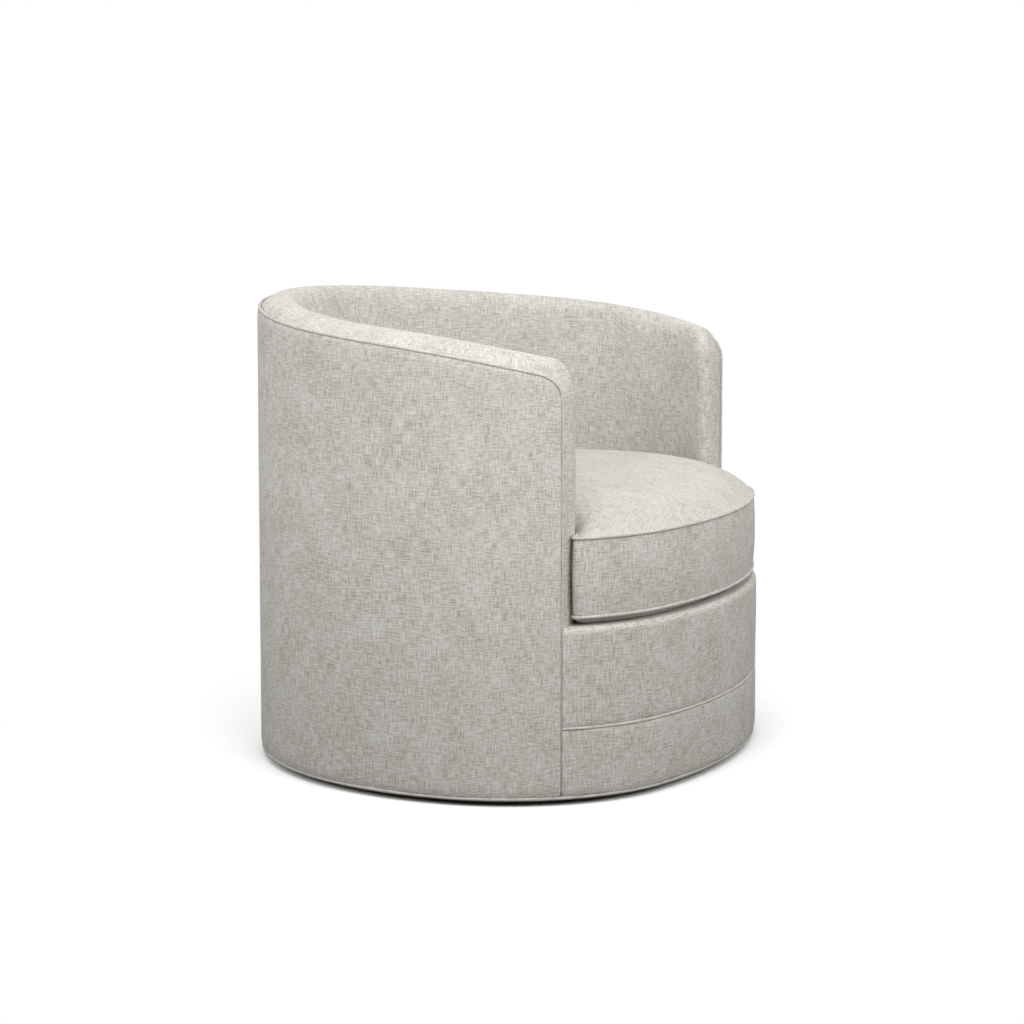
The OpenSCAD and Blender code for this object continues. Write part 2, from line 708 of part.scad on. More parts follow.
module bearing_plate(bore) {
    difference() {
        union() {
            intersection() {
                translate([-plate_w / 2, -plate_w / 2, 0]) cube([plate_w, plate_w, plate_t]);
                cylinder(r = plate_corner_r, h = plate_t);
            }
            rotate_extrude() translate([(ball_circle_d - race_w) / 2, 0]) square([race_w, plate_t + race_h]);
        }
        translate([0, 0, plate_t + race_h + race_gap / 2]) rotate_extrude()
            translate([ball_circle_d / 2, 0]) circle(d = ball_d + 2 * run_clearance);
        translate([0, 0, -over]) cylinder(d = bore, h = plate_t + 2 * over);
        translate([0, 0, -over]) plate_holes(plate_t + 2 * over);
    }
}

module lower_plate() {
    color("#85888c") translate([0, 0, base_top]) bearing_plate(kingbolt_d);
}

module upper_plate() {
    color("#85888c") translate([0, 0, board_z]) mirror([0, 0, 1]) bearing_plate(kingbolt_d + 2 * run_clearance);
}

module ball_places() {
    for (i = [0:ball_count - 1]) rotate([0, 0, i * 360 / ball_count])
        translate([ball_circle_d / 2, 0, ball_z]) children();
}

module bearing_balls() {
    color("#d9dce0") ball_places() sphere(d = ball_d);
}

module ball_cage() {
    color("#b58a3c") difference() {
        translate([0, 0, ball_z - cage_t / 2]) rotate_extrude()
            translate([(ball_circle_d - race_w) / 2, 0]) square([race_w, cage_t]);
        ball_places() translate([0, 0, -cage_t]) cylinder(d = ball_d + 2 * run_clearance, h = 2 * cage_t);
    }
}

module hex_bar(h) {
    cylinder(d = kingbolt_hex / cos(30), h = h, $fn = 6);
}

module kingbolt() {
    color("#9b9ea3") translate([0, 0, base_top - kingbolt_head_h]) {
        hex_bar(kingbolt_head_h);
        cylinder(d = kingbolt_d, h = kingbolt_head_h + board_z - base_top + washer_t + cloth_gap + nut_h);
    }
}

module thrust_washer() {
    color("#c2c5c9") translate([0, 0, board_z + cloth_gap]) difference() {
        cylinder(d = washer_d, h = washer_t);
        translate([0, 0, -over]) cylinder(d = kingbolt_d, h = washer_t + 2 * over);
    }
}

module lock_nut() {
    color("#9b9ea3") translate([0, 0, board_z + cloth_gap + washer_t]) difference() {
        union() {
            hex_bar(nut_h * nut_hex_share);
            cylinder(d = kingbolt_hex, h = nut_h);
        }
        translate([0, 0, -over]) cylinder(d = kingbolt_d, h = nut_h + 2 * over);
    }
}

// Pan head screws at the four holes, heads below z = 0 and shanks above
module pan_screws(shank) {
    for (x = [-plate_hole, plate_hole], y = [-plate_hole, plate_hole]) translate([x, y, 0]) {
        cylinder(d = screw_d, h = shank);
        rotate_extrude() polygon([[0, 0], [screw_head_r, 0], [screw_head_r, -screw_head_h / 2],
            [screw_head_r / 2, -screw_head_h], [0, -screw_head_h]]);
    }
}

module lower_plate_screws() {
    color("#5d5f63") translate([0, 0, base_top + plate_t]) mirror([0, 0, 1]) pan_screws(plate_t + base_t / 2);
}

module upper_plate_bolts() {
    color("#5d5f63") translate([0, 0, upper_plate_z]) pan_screws(plate_t + cross_board_t);
}

// The loose seat cushion: its plan follows the bow, wraps the arm ends, then follows the barrel's inside
ear_y = arm_y - arm_bulge - cushion_clearance;
panel_in_set = draw_in + cushion_welt_d / 2 + cloth_gap;
hub_share = 0.01;
hub = [0, ear_y - panel_in_set - hub_share * chair_d];
bow_steps = 4;
corner_turns = 6;
inner_steps = 16;
function cushion_out(e) = cushion_set_in + e;
function cushion_in(e) = wall_t + cushion_clearance + e;
function ear_tip(e) = angle_at(ear_y - e - cushion_ear_r, cushion_out(e) + cushion_ear_r);
function ear_start(e) = angle_at(ear_y - e, cushion_in(e));
function wall_place(a, e) = plan_at(a, cushion_in(e) + back_pitch * pitch_share(a));
function cushion_side(e) = let (tip = ear_tip(e), c = plan_at(tip, cushion_out(e) + cushion_ear_r))
    concat(
        [for (i = [0:bow_steps - 1]) plan_at(bow_angle * i / bow_steps, cushion_out(e))],
        [for (i = [0:corner_turns - 1])
            plan_at(lerp(bow_angle, ear_tip(0), i / corner_turns), cushion_out(e))],
        [plan_at(tip, cushion_out(e))],
        [for (i = [1:2]) c + cushion_ear_r * normal_at(lerp(tip, 180, i / 2))],
        [wall_place(ear_start(e), e)],
        [for (i = [1:inner_steps]) wall_place(lerp(ear_start(0), 180, i / inner_steps), e)]);
function cushion_outline(e) = let (s = cushion_side(e))
    concat(s, [for (i = [len(s) - 2:-1:1]) [-s[i][0], s[i][1]]]);

// How near a place is to the edge: 0 in the middle and 1 all along the panel's outline
edge_reach_share = 1.03;
function edge_share(p) = let (
    mid = barrel_y / 2,
    wall = wall_t + cushion_clearance + panel_in_set,
    across = p[0] / (half_w - wall),
    along = p[1] < mid ? (mid - p[1]) / (chair_d / 2 + mid - cushion_set_in - panel_in_set) :
        (p[1] - mid) / (chair_d / 2 - mid - wall - back_pitch))
    min(1, edge_reach_share * norm([across, along]));
function swell(p) = 1 - pow(edge_share(p), 4);
cushion_low = deck_z + cushion_foot;
cushion_high = cushion_low + boxing_h;
dome_shares = [1, 0.95, 0.85, 0.68, 0.47, 0.24];
function dome_point(p, lift) = [p[0], p[1], cushion_high + crown_rise * swell(p) + lift];
function base_point(p, lift) = [p[0], p[1], cushion_low - (cushion_foot - cloth_gap) * swell(p) + lift];
function dome_loops(lift) = [for (s = dome_shares) [for (p = cushion_outline(panel_in_set))
    dome_point(lerp(hub, p, s), lift)]];
function base_loops(lift) = [for (s = dome_shares) [for (p = cushion_outline(panel_in_set))
    base_point(lerp(hub, p, s), lift)]];
function turned(loops) = [for (l = loops) [for (j = [len(l) - 1:-1:0]) l[j]]];
boxing_up_shares = [0, 0.2, 0.5, 0.8, 1];
boxing_in_shares = [1, 0.35, 0, 0.35, 1];
function boxing_loop(i, e, margin) = [for (p = cushion_outline(e + draw_in * boxing_in_shares[i]))
    [p[0], p[1], lerp(cushion_low + margin, cushion_high - margin, boxing_up_shares[i])]];

module cushion_core() {
    low = base_loops(foam_deep);
    color("#efe9c8") skin(concat([for (i = [len(low) - 1:-1:0]) low[i]],
        [for (i = [1:3]) boxing_loop(i, foam_deep, foam_deep)], dome_loops(-foam_deep)),
        base_point(hub, foam_deep), dome_point(hub, -foam_deep));
}

module cushion_top_panel() {
    color("#c9c5ba")
        bowl(dome_loops(0), dome_loops(-lining_t), dome_point(hub, 0), dome_point(hub, -lining_t));
}

module cushion_bottom_panel() {
    color("#c9c5ba") bowl(turned(base_loops(0)), turned(base_loops(lining_t)),
        base_point(hub, 0), base_point(hub, lining_t));
}

module cushion_boxing() {
    m = cushion_welt_d / 2 + cloth_gap;
    color("#c9c5ba")
        tube_wall([for (i = [0:4]) boxing_loop(i, 0, m)], [for (i = [0:4]) boxing_loop(i, lining_t, m)]);
}

module cushion_welt(z) {
    loop = cushion_outline(draw_in);
    n = len(loop);
    color("#d3cfc4") cord([for (i = [0:n - 1]) let (d = loop[(i + 1) % n] - loop[(i + n - 1) % n])
        [[loop[i][0], loop[i][1], z], unit([d[1], -d[0], 0])]], cushion_welt_d, closed = true);
}

base_disc();
base_glides();
lower_plate();
lower_plate_screws();
kingbolt();
thrust_washer();
lock_nut();
ball_cage();
bearing_balls();
upper_plate();
upper_plate_bolts();
cross_board(-1);  // cross_board_left
cross_board(1);  // cross_board_right
foot_ring();
dust_cover();
mirror([1, 0, 0]) arm_post();  // arm_post_left
arm_post();  // arm_post_right
back_post(-side_post_angle);  // back_post_1
back_post(-rear_post_angle);  // back_post_2
back_post(180);  // back_post_3
back_post(rear_post_angle);  // back_post_4
back_post(side_post_angle);  // back_post_5
front_post(-1);  // front_post_left
front_post(1);  // front_post_right
top_rail();
seat_ring();
front_rail();
barrel_panel();
front_panel();
spring(1);  // spring_1
spring(2);  // spring_2
spring(3);  // spring_3
spring(4);  // spring_4
spring(5);  // spring_5
spring_clips(1);  // rear_spring_clips
spring_clips(-1);  // front_spring_clips
deck_pad();
deck_cover();
inside_foam();
inside_lining();
mirror([1, 0, 0]) arm_end_pad();  // arm_end_pad_left
arm_end_pad();  // arm_end_pad_right
mirror([1, 0, 0]) arm_end_cover();  // arm_end_cover_left
arm_end_cover();  // arm_end_cover_right
front_edge_pad();
front_upper_cover();
front_lower_cover();
outside_cover();
rim_welt();
front_welt();
foot_welt();
cushion_core();
cushion_top_panel();
cushion_boxing();
cushion_bottom_panel();
cushion_welt(cushion_high);  // cushion_top_welt
cushion_welt(cushion_low);  // cushion_bottom_welt
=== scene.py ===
import json
import math

import bmesh
import bpy
import numpy as np
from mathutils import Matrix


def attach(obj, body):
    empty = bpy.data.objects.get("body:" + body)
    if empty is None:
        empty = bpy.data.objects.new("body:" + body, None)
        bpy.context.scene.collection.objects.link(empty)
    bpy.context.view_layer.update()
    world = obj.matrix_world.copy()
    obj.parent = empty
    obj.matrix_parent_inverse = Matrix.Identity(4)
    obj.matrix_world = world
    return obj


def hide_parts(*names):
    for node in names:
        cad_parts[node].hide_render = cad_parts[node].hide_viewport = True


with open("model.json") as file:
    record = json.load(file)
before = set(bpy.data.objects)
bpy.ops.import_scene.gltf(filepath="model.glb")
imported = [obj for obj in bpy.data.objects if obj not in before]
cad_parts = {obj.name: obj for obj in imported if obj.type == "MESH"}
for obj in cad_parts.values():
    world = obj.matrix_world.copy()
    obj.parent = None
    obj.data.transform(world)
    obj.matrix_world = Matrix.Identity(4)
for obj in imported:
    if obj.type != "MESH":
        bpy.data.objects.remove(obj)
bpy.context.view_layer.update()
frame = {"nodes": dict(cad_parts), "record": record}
scene = bpy.context.scene
nodes = frame["nodes"]
print("frame loaded:", len(nodes), "nodes")

# Sizes in metres, the same as the solids have. Front is -Y, the swivel turns about Z.
drum = {"width": 0.850, "depth": 0.720, "corner": 0.272, "rise": 0.023}
rim = {"ends": 0.592, "side": 0.634, "rear": 0.651, "back": 0.677, "shares": (0.0, 0.25, 0.5),
       "wall": 0.062, "crest": 0.019, "turn": 0.025, "pitch": 0.030}
arm = {"y": -0.226, "bulge": 0.0046, "roundFrom": 0.018, "round": 0.025, "cornerY": 0.023, "cornerZ": 0.060}
levels = {"deck": 0.247, "frontWelt": 0.108, "footWelt": 0.011, "cushionLow": 0.262, "cushionHigh": 0.372}
cord = {"r": 0.0025, "footR": 0.003, "inset": 0.0015, "frontInset": 0.0002, "room": 0.0028, "endRoom": 0.0013,
        "footGap": 0.0006, "footIn": 0.6, "sides": 14, "cushionSides": 12, "uneven": 0.03, "unevenSize": 0.05,
        "cornerRows": 14, "uprightRows": 60, "rimRows": 110, "footRows": 361,
        "seeds": {"rim_welt": 51, "foot_welt": 57, "front_welt": 61,
                  "cushion_top_welt": 71, "cushion_bottom_welt": 77}}
clear = 0.0005  # between a sheet's edge and the piece that it meets
# where each piece is cut from the cloth, so that no two show the same threads
weaveFrom = {"inside": (0.31, 2.7), "arm": (4.1, 1.3), "deck": (7.7, 3.1),
             "cushionTop": (9.3, 0.4), "cushionUnder": (11.9, 2.4), "boxing": (13.1, 5.4)}


# the plan of the drum

backR = drum["width"] / 2
cornerX = backR - drum["corner"]
bowAngle = 2 * math.atan(drum["rise"] / cornerX)
bowR = drum["corner"] + cornerX / math.sin(bowAngle)
barrelY = drum["depth"] / 2 - backR
bowY = barrelY + cornerX / math.tan(bowAngle)


def planAt(a, inset=0.0):
    # place = arc centre + (arc radius - inset) * (sin a, -cos a), a the outward normal's angle from the front
    a = (np.asarray(a, float) + np.pi) % (2 * np.pi) - np.pi
    b, hand = np.abs(a), np.where(a < 0, -1.0, 1.0)
    bow, back = b < bowAngle, b >= np.pi / 2
    r = np.where(bow, bowR, np.where(back, backR, drum["corner"]))
    x = np.where(bow | back, 0.0, cornerX)
    y = np.where(bow, bowY, barrelY)
    return hand * (x + (r - inset) * np.sin(b)), y - (r - inset) * np.cos(b)


def planRun(a):
    # run = length of the outline from the front's middle to the angle a
    a = np.asarray(a, float)
    b = np.abs(a)
    bow = np.minimum(b, bowAngle) * bowR
    corner = np.clip(b - bowAngle, 0, np.pi / 2 - bowAngle) * drum["corner"]
    back = np.maximum(b - np.pi / 2, 0) * backR
    return np.sign(a) * (bow + corner + back)


def turnAt(x, y):
    # outward normal's angle at a place beside or behind the seat, 0 to pi on both sides
    away = np.abs(x)
    return np.arctan2(np.where(y < barrelY, away - cornerX, away), barrelY - y)


def weaveRun(x, y):
    # length along the outline from the front's middle to the place that faces (x, y), growing past the back
    run = planRun(np.maximum(turnAt(x, y), 0))
    return np.where(x < 0, 2 * planRun(np.pi) - run, run)


def angleAt(y, inset=0.0):
    # normal angle where the line parallel to the outline crosses the depth y, beside an arm's end
    return np.arccos(np.clip((barrelY - np.asarray(y, float)) / (drum["corner"] - inset), -1, 1))


def rimZ(y):
    # height of the rim welt = the cubic through its four heights, which stand at four shares of the depth
    s = np.asarray(y, float) / drum["depth"]
    stops = [arm["y"] / drum["depth"], *rim["shares"]]
    heights = [rim["ends"], rim["side"], rim["rear"], rim["back"]]
    total = 0.0
    for i in range(4):
        term = heights[i]
        for j in range(4):
            if j != i:
                term = term * (s - stops[j]) / (stops[i] - stops[j])
        total = total + term
    return total


# mesh helpers

def smoothShare(t):
    # 0 up to 0, 1 from 1 on, and 3 t^2 - 2 t^3 between
    t = np.clip(t, 0, 1)
    return t * t * (3 - 2 * t)


def shareFrom(q, start):
    # 0 up to start, then smoothly up to 1 at q = 1
    return smoothShare((q - start) / (1 - start))


waves = {"count": 9, "short": 0.6, "long": 1.5, "lastPhase": 6.28, "strength": 2.2}


def ripple(p, size, seed):
    # soft noise about -1 to 1 = mean of a few sine waves in fixed random directions, one wave about size long
    rng = np.random.default_rng(seed)
    total = 0.0
    for _ in range(waves["count"]):
        d = rng.normal(size=3)
        d *= rng.uniform(waves["short"], waves["long"]) * 2 * np.pi / size / np.linalg.norm(d)
        total = total + np.sin(p @ d + rng.uniform(0, waves["lastPhase"]))
    return total / waves["count"] * waves["strength"]


def spread(*parts):
    # stacks numbers and grids of one shape or of shapes that stretch to it, as the last axis
    return np.stack(np.broadcast_arrays(*parts), -1)


def lengthAlong(path):
    # length along a path, from its first point to each point
    return np.concatenate([[0], np.cumsum(np.linalg.norm(np.diff(path, axis=0), axis=1))])


def withMirror(half):
    # rows from one arm to the middle of the back, and their mirror image on to the other arm
    return np.concatenate([half, (half * [-1, 1, 1])[-2::-1]])


def outwardAt(a):
    # unit vector out of the plan's outline at the angle a
    return spread(np.sin(a), -np.cos(a), 0.0)


def patch(points, uv, flip=False):
    # a grid of points (rows, columns, 3) with its weave coordinates (rows, columns, 2) in metres
    return {"points": np.asarray(points, float), "uv": np.asarray(uv, float), "flip": flip}


weld = {"join": 2e-5, "needle": 1e-6}


def makePiece(name, patches, material, bodyName="seat_shell", closed=False):
    # joins grids into one mesh, welds their shared edges and keeps each grid's own weave coordinates
    points, faces, uvs, base = [], [], [], 0
    for g in patches:
        rows, cols = g["points"].shape[:2]
        i, j = np.meshgrid(np.arange(rows - 1), np.arange(cols - 1), indexing="ij")
        a = (i * cols + j).ravel()
        quad = np.stack([a, a + cols, a + cols + 1, a + 1], axis=1)
        if g["flip"]:
            quad = quad[:, ::-1]
        points.append(g["points"].reshape(-1, 3))
        uvs.append(g["uv"].reshape(-1, 2)[quad.ravel()])
        faces.append(quad + base)
        base += rows * cols
    mesh = bpy.data.meshes.new(name)
    mesh.from_pydata(np.concatenate(points).tolist(), [], np.concatenate(faces).tolist())
    layer = mesh.uv_layers.new(name="weave")
    layer.data.foreach_set("uv", np.concatenate(uvs).astype(np.float32).ravel())
    work = bmesh.new()
    work.from_mesh(mesh)
    bmesh.ops.remove_doubles(work, verts=work.verts, dist=weld["join"])
    bmesh.ops.dissolve_degenerate(work, edges=work.edges, dist=weld["needle"])
    if closed:
        bmesh.ops.recalc_face_normals(work, faces=work.faces)
    for edge in work.edges:
        edge.smooth = not edge.is_boundary  # the wall's own edge stays crisp, so shading doesn't bend near it
    work.to_mesh(mesh)
    work.free()
    mesh.polygons.foreach_set("use_smooth", [True] * len(mesh.polygons))
    obj = bpy.data.objects.new(name, mesh)
    scene.collection.objects.link(obj)
    obj.data.materials.append(material)
    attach(obj, bodyName)
    return obj


def addSolidify(obj, thickness):
    # the wall grows inwards, behind the drawn face
    mod = obj.modifiers.new("thickness", "SOLIDIFY")
    mod.thickness, mod.offset = thickness, -1.0
    mod.use_even_offset = False


def tube(path, outward, radius, closed, sides, swell):
    # ring k of the tube = path + radius * (cos t * outward + sin t * binormal), carried along the path
    path, outward = np.asarray(path, float), np.asarray(outward, float)
    if closed:
        along = np.roll(path, -1, 0) - np.roll(path, 1, 0)
    else:
        along = np.gradient(path, axis=0)
    along /= np.linalg.norm(along, axis=1, keepdims=True)
    u = outward - along * np.sum(outward * along, 1, keepdims=True)
    u /= np.linalg.norm(u, axis=1, keepdims=True)
    v = np.cross(along, u)
    t = np.linspace(0, 2 * np.pi, sides + 1)
    ring = np.cos(t)[None, :, None] * u[:, None] + np.sin(t)[None, :, None] * v[:, None]
    points = path[:, None] + radius * swell[:, None, None] * ring
    uv = spread(lengthAlong(path)[:, None], t * radius)
    if closed:
        points = np.concatenate([points, points[:1]])
        uv = np.concatenate([uv, uv[-1:] + [[[np.linalg.norm(path[0] - path[-1]), 0]]]])
    else:
        cap = lambda k: np.stack([np.repeat(path[k][None], sides + 1, 0), points[k]])
        flat = np.zeros((2, sides + 1, 2))
        return [patch(points, uv), patch(cap(0), flat), patch(cap(-1), flat, True)]
    return [patch(points, uv)]


# shader helpers

class Wire:
    # a shader socket that takes Python maths: each operator adds a Math node
    def __init__(self, tree, socket=None):
        self.tree, self.socket = tree, socket

    def make(self, kind, settings=(), inputs=(), output=0):
        node = self.tree.nodes.new(kind)
        for key, value in dict(settings).items():
            if key == "stops":
                ramp = node.color_ramp
                while len(ramp.elements) < len(value):
                    ramp.elements.new(0.5)
                for element, (place, colour) in zip(ramp.elements, value):
                    element.position, element.color = place, (*colour, 1)
            else:
                setattr(node, key, value)
        for key, value in dict(inputs).items():
            if isinstance(value, Wire):
                self.tree.links.new(value.socket, node.inputs[key])
            else:
                node.inputs[key].default_value = value
        return Wire(self.tree, node.outputs[output]) if len(node.outputs) else Wire(self.tree)

    def maths(self, operation, a, b=0.0):
        return self.make("ShaderNodeMath", {"operation": operation}, {0: a, 1: b})

    def __add__(self, other):
        return self.maths("ADD", self, other)

    def __sub__(self, other):
        return self.maths("SUBTRACT", self, other)

    def __rsub__(self, other):
        return self.maths("SUBTRACT", other, self)

    def __mul__(self, other):
        return self.maths("MULTIPLY", self, other)

    __radd__, __rmul__ = __add__, __mul__

    def step(self, low, high):
        # 0 below low, 1 above high, smooth between
        limits = {"Value": self, "From Min": low, "From Max": high}
        return self.make("ShaderNodeMapRange", {"interpolation_type": "SMOOTHSTEP"}, limits)

    def mixed(self, a, b):
        # colour a where this is 0 and b where it is 1
        return self.make("ShaderNodeMix", {"data_type": "RGBA"}, {0: self, 6: a, 7: b}, 2)

    def noise(self, scale, detail=2.0, rough=0.5):
        # soft noise at this place, about 0.5 in the mean
        inputs = {"Vector": self, "Scale": scale, "Detail": detail, "Roughness": rough}
        return self.make("ShaderNodeTexNoise", inputs=inputs, output="Fac")


def newMaterial(name):
    mat = bpy.data.materials.new(name)
    mat.use_nodes = True
    tree = mat.node_tree
    tree.nodes.clear()
    return mat, Wire(tree)


def opaque(colour, shade=1.0):
    return tuple(c * shade for c in colour) + (1,)


def objectPlace(w):
    return w.make("ShaderNodeTexCoord", output="Object")


def finishMaterial(w, colour, roughness, height, bumpHeight, **constants):
    # the constants are sockets of the shader, with _ for each space in a name
    bump = w.make("ShaderNodeBump", inputs={"Strength": 1.0, "Distance": bumpHeight, "Height": height})
    inputs = {"Base Color": colour, "Roughness": roughness, "Normal": bump}
    inputs.update({key.replace("_", " "): value for key, value in constants.items()})
    shader = w.make("ShaderNodeBsdfPrincipled", inputs=inputs)
    w.make("ShaderNodeOutputMaterial", inputs={"Surface": shader})


def streaks(w, u, v, scales, seed, detail=2.0):
    # noise drawn out into streaks, longer along the axis with the smaller scale
    place = w.make("ShaderNodeCombineXYZ", inputs={0: u * scales[0], 1: v * scales[1], 2: seed})
    return place.noise(1.0, detail, cloth["fine"])


# colours, waves to the metre along and across each kind of thread, shares of the mix, and the edges and
# strength of each mask
cloth = {
    "tones": ((0.0, (0.308, 0.270, 0.214)), (0.28, (0.388, 0.358, 0.301)),
              (0.52, (0.478, 0.466, 0.431)), (1.0, (0.592, 0.588, 0.562))),
    "tan": (0.385, 0.326, 0.250), "brown": (0.300, 0.254, 0.195), "pale": (0.650, 0.650, 0.632),
    "slub": (54.0, 520.0), "paleThread": (30.0, 420.0), "darkThread": (58.0, 400.0),
    "speck": (620.0, 620.0), "knot": (280.0, 250.0), "cloud": (15.0, 15.0), "blotch": (46.0, 46.0),
    "threadShare": 1.85, "speckShare": 0.9, "cloudShare": 0.60, "blotchShare": 0.20,
    "toneSpan": 0.85, "toneLow": 0.08, "fine": 0.6,
    "tanEdge": (0.54, 0.95), "tanMost": 0.56, "tanThreads": 1.1, "tanCloud": 0.9, "tanKnots": 0.4,
    "darkWeft": (0.60, 0.72), "darkWarp": (0.62, 0.74), "darkPatch": 0.35, "darkFade": 0.7, "darkMost": 0.60,
    "paleEdge": (0.60, 0.74), "paleMost": 0.38,
    "rough": 0.92, "bump": 0.0003, "bumpSpeck": 0.5, "bumpPale": 0.5,
}
clothSheen = {"Sheen_Weight": 0.1, "Sheen_Roughness": 0.5, "Specular_IOR_Level": 0.15}


def wovenCloth(name, shade=1.0, contrast=1.0, flecks=1.0, bumpShare=1.0):
    # a slubby plain weave: yarn both ways, pale and dark threads, and tan clusters broken up by the yarn
    # the last numbers of each streak are its seed and its detail
    mat, w = newMaterial(name)
    uv = w.make("ShaderNodeUVMap", {"uv_map": "weave"})
    u = w.make("ShaderNodeSeparateXYZ", inputs={0: uv})
    v = Wire(w.tree, u.socket.node.outputs[1])
    weft = streaks(w, u, v, cloth["slub"], 1.0)
    warp = streaks(w, u, v, cloth["slub"][::-1], 7.0)
    weftPale = streaks(w, u, v, cloth["paleThread"], 13.0, 1.0)
    warpPale = streaks(w, u, v, cloth["paleThread"][::-1], 19.0, 1.0)
    weftDark = streaks(w, u, v, cloth["darkThread"], 61.0, 1.0)
    warpDark = streaks(w, u, v, cloth["darkThread"][::-1], 67.0, 1.0)
    speck = streaks(w, u, v, cloth["speck"], 23.0, 1.0) - 0.5
    cloud = streaks(w, u, v, cloth["cloud"], 31.0, 3.0) - 0.5
    blotch = streaks(w, u, v, cloth["blotch"], 37.0) - 0.5
    knot = streaks(w, u, v, cloth["knot"], 43.0) - 0.5
    threads = weft + warp - 1.0
    mottle = cloud * cloth["cloudShare"] + blotch * cloth["blotchShare"]
    tone = (threads * cloth["threadShare"] + speck * cloth["speckShare"] + mottle) * contrast + 0.5
    stops = [(place, tuple(c * shade for c in colour)) for place, colour in cloth["tones"]]
    tone = tone * cloth["toneSpan"] + cloth["toneLow"]
    body = w.make("ShaderNodeValToRGB", {"stops": stops}, {0: tone})
    tan = 0.5 - mottle * cloth["tanCloud"] - knot * cloth["tanKnots"] - threads * cloth["tanThreads"]
    tan = tan.step(*cloth["tanEdge"]) * (cloth["tanMost"] * flecks)
    body = tan.mixed(body, opaque(cloth["tan"], shade))
    dark = w.maths("MAXIMUM", weftDark.step(*cloth["darkWeft"]), warpDark.step(*cloth["darkWarp"]))
    dark = dark * (cloth["darkPatch"] - mottle).step(0.0, cloth["darkFade"]) * (cloth["darkMost"] * flecks)
    body = dark.mixed(body, opaque(cloth["brown"], shade))
    pale = w.maths("MAXIMUM", weftPale.step(*cloth["paleEdge"]), warpPale.step(*cloth["paleEdge"]))
    pale = pale * (cloth["paleMost"] * contrast)
    body = pale.mixed(body, opaque(cloth["pale"], shade))
    height = threads + speck * cloth["bumpSpeck"] + pale * cloth["bumpPale"]
    finishMaterial(w, body, cloth["rough"], height, cloth["bump"] * bumpShare, **clothSheen)
    return mat


# shade, contrast, flecks and bump of each cloth
materials = {
    "cover": wovenCloth("pale_slub_weave"),
    "cushion": wovenCloth("pale_slub_weave_on_cushion", 1.0, 0.62, 0.55, 0.8),
    # the cord's copy of the cloth is painted a shade darker (0.99) as painted shade, so the cords' lit tops
    # show no brighter than the walls beside them
    "welt": wovenCloth("pale_slub_weave_on_cord", 0.99, 0.9, 0.6, 0.5),
}
print("cloth made")


# outside of the barrel

outsideLook = {"tuck": 0.0016, "endTuck": 0.0003, "tuckWidth": 0.004, "thickness": 0.0026,
               "wave": 0.00035, "waveSize": 0.16, "waveMean": 0.6, "seed": 3, "endWidth": 0.03, "crowd": 1.5,
               "lip": 0.05, "around": 90, "besideEnd": 12, "lipRows": 8, "rows": 24}


def cornerLine(y, up, out, r):
    # height of the arm's rounded top corner at the depth y: rim line, less r * (1 - cos t) as it turns down
    t = np.arcsin(np.clip(1 - (np.asarray(y, float) - (arm["y"] - out)) / r, 0, 1))
    return rimZ(y) + up - r * (1 - np.cos(t))


def wallAngles(start):
    # angles from one arm's end round the back to the other, closer together beside the ends
    look = outsideLook
    first, second = angleAt(start), angleAt(start + look["endWidth"])
    near = first + (second - first) * np.linspace(0, 1, look["besideEnd"]) ** look["crowd"]
    half = np.concatenate([near[:-1], np.linspace(near[-1], np.pi, look["around"])])
    return np.concatenate([half, 2 * np.pi - half[-2::-1]])


def fromEnds(a):
    # length along the outline to the nearer end of the row of angles
    run = planRun(a)
    return np.minimum(run - run[0], run[-1] - run)[:, None]


def makeOutside():
    look = outsideLook
    a = wallAngles(arm["y"] + cord["endRoom"])
    x0, y0 = planAt(a)
    low = levels["footWelt"] + cord["footR"] + clear
    top = cornerLine(y0, -cord["room"], -cord["room"], rim["turn"] - cord["room"])
    lip = np.linspace(0, look["lip"], look["lipRows"])
    v = np.concatenate([lip, np.linspace(lip[-1], 1 - lip[-1], look["rows"])[1:-1], 1 - lip[::-1]])
    z = low + (top - low)[:, None] * v
    nearEdge = np.minimum(z - low, top[:, None] - z)
    inset = look["tuck"] * np.exp(-nearEdge / look["tuckWidth"])
    inset = inset + look["endTuck"] * np.exp(-fromEnds(a) / look["tuckWidth"])
    wave = ripple(spread(x0[:, None], y0[:, None], z), look["waveSize"], look["seed"])
    x, y = planAt(a[:, None], inset + look["wave"] * (look["waveMean"] + wave))
    sheet = patch(spread(x, y, z), spread(planRun(a)[:, None], z), True)
    obj = makePiece("outside_cover_cloth", [sheet], materials["cover"])
    addSolidify(obj, look["thickness"])
    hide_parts("outside_cover")
    return obj


outside = makeOutside()


# covers across the front

frontLook = {"tuck": 0.0015, "endTuck": 0.0003, "tuckWidth": 0.0035, "thickness": 0.0026,
             "edge": 0.007, "back": 0.037, "gap": 0.0004, "topGap": 0.0002,
             "wave": 0.0003, "waveSize": 0.14, "waveMean": 0.6, "lowSeed": 5, "highSeed": 9,
             "weaveShift": 1.37, "crowd": 1.15, "across": 121,
             "lowRows": 22, "highRows": 20, "turnRows": 9, "topRows": 8}


def frontAngles():
    # angles across the front from arm to arm, closer together beside the arms
    t = np.linspace(-1, 1, frontLook["across"])
    return angleAt(arm["y"] - cord["endRoom"]) * np.sign(t) * (1 - (1 - np.abs(t)) ** frontLook["crowd"])


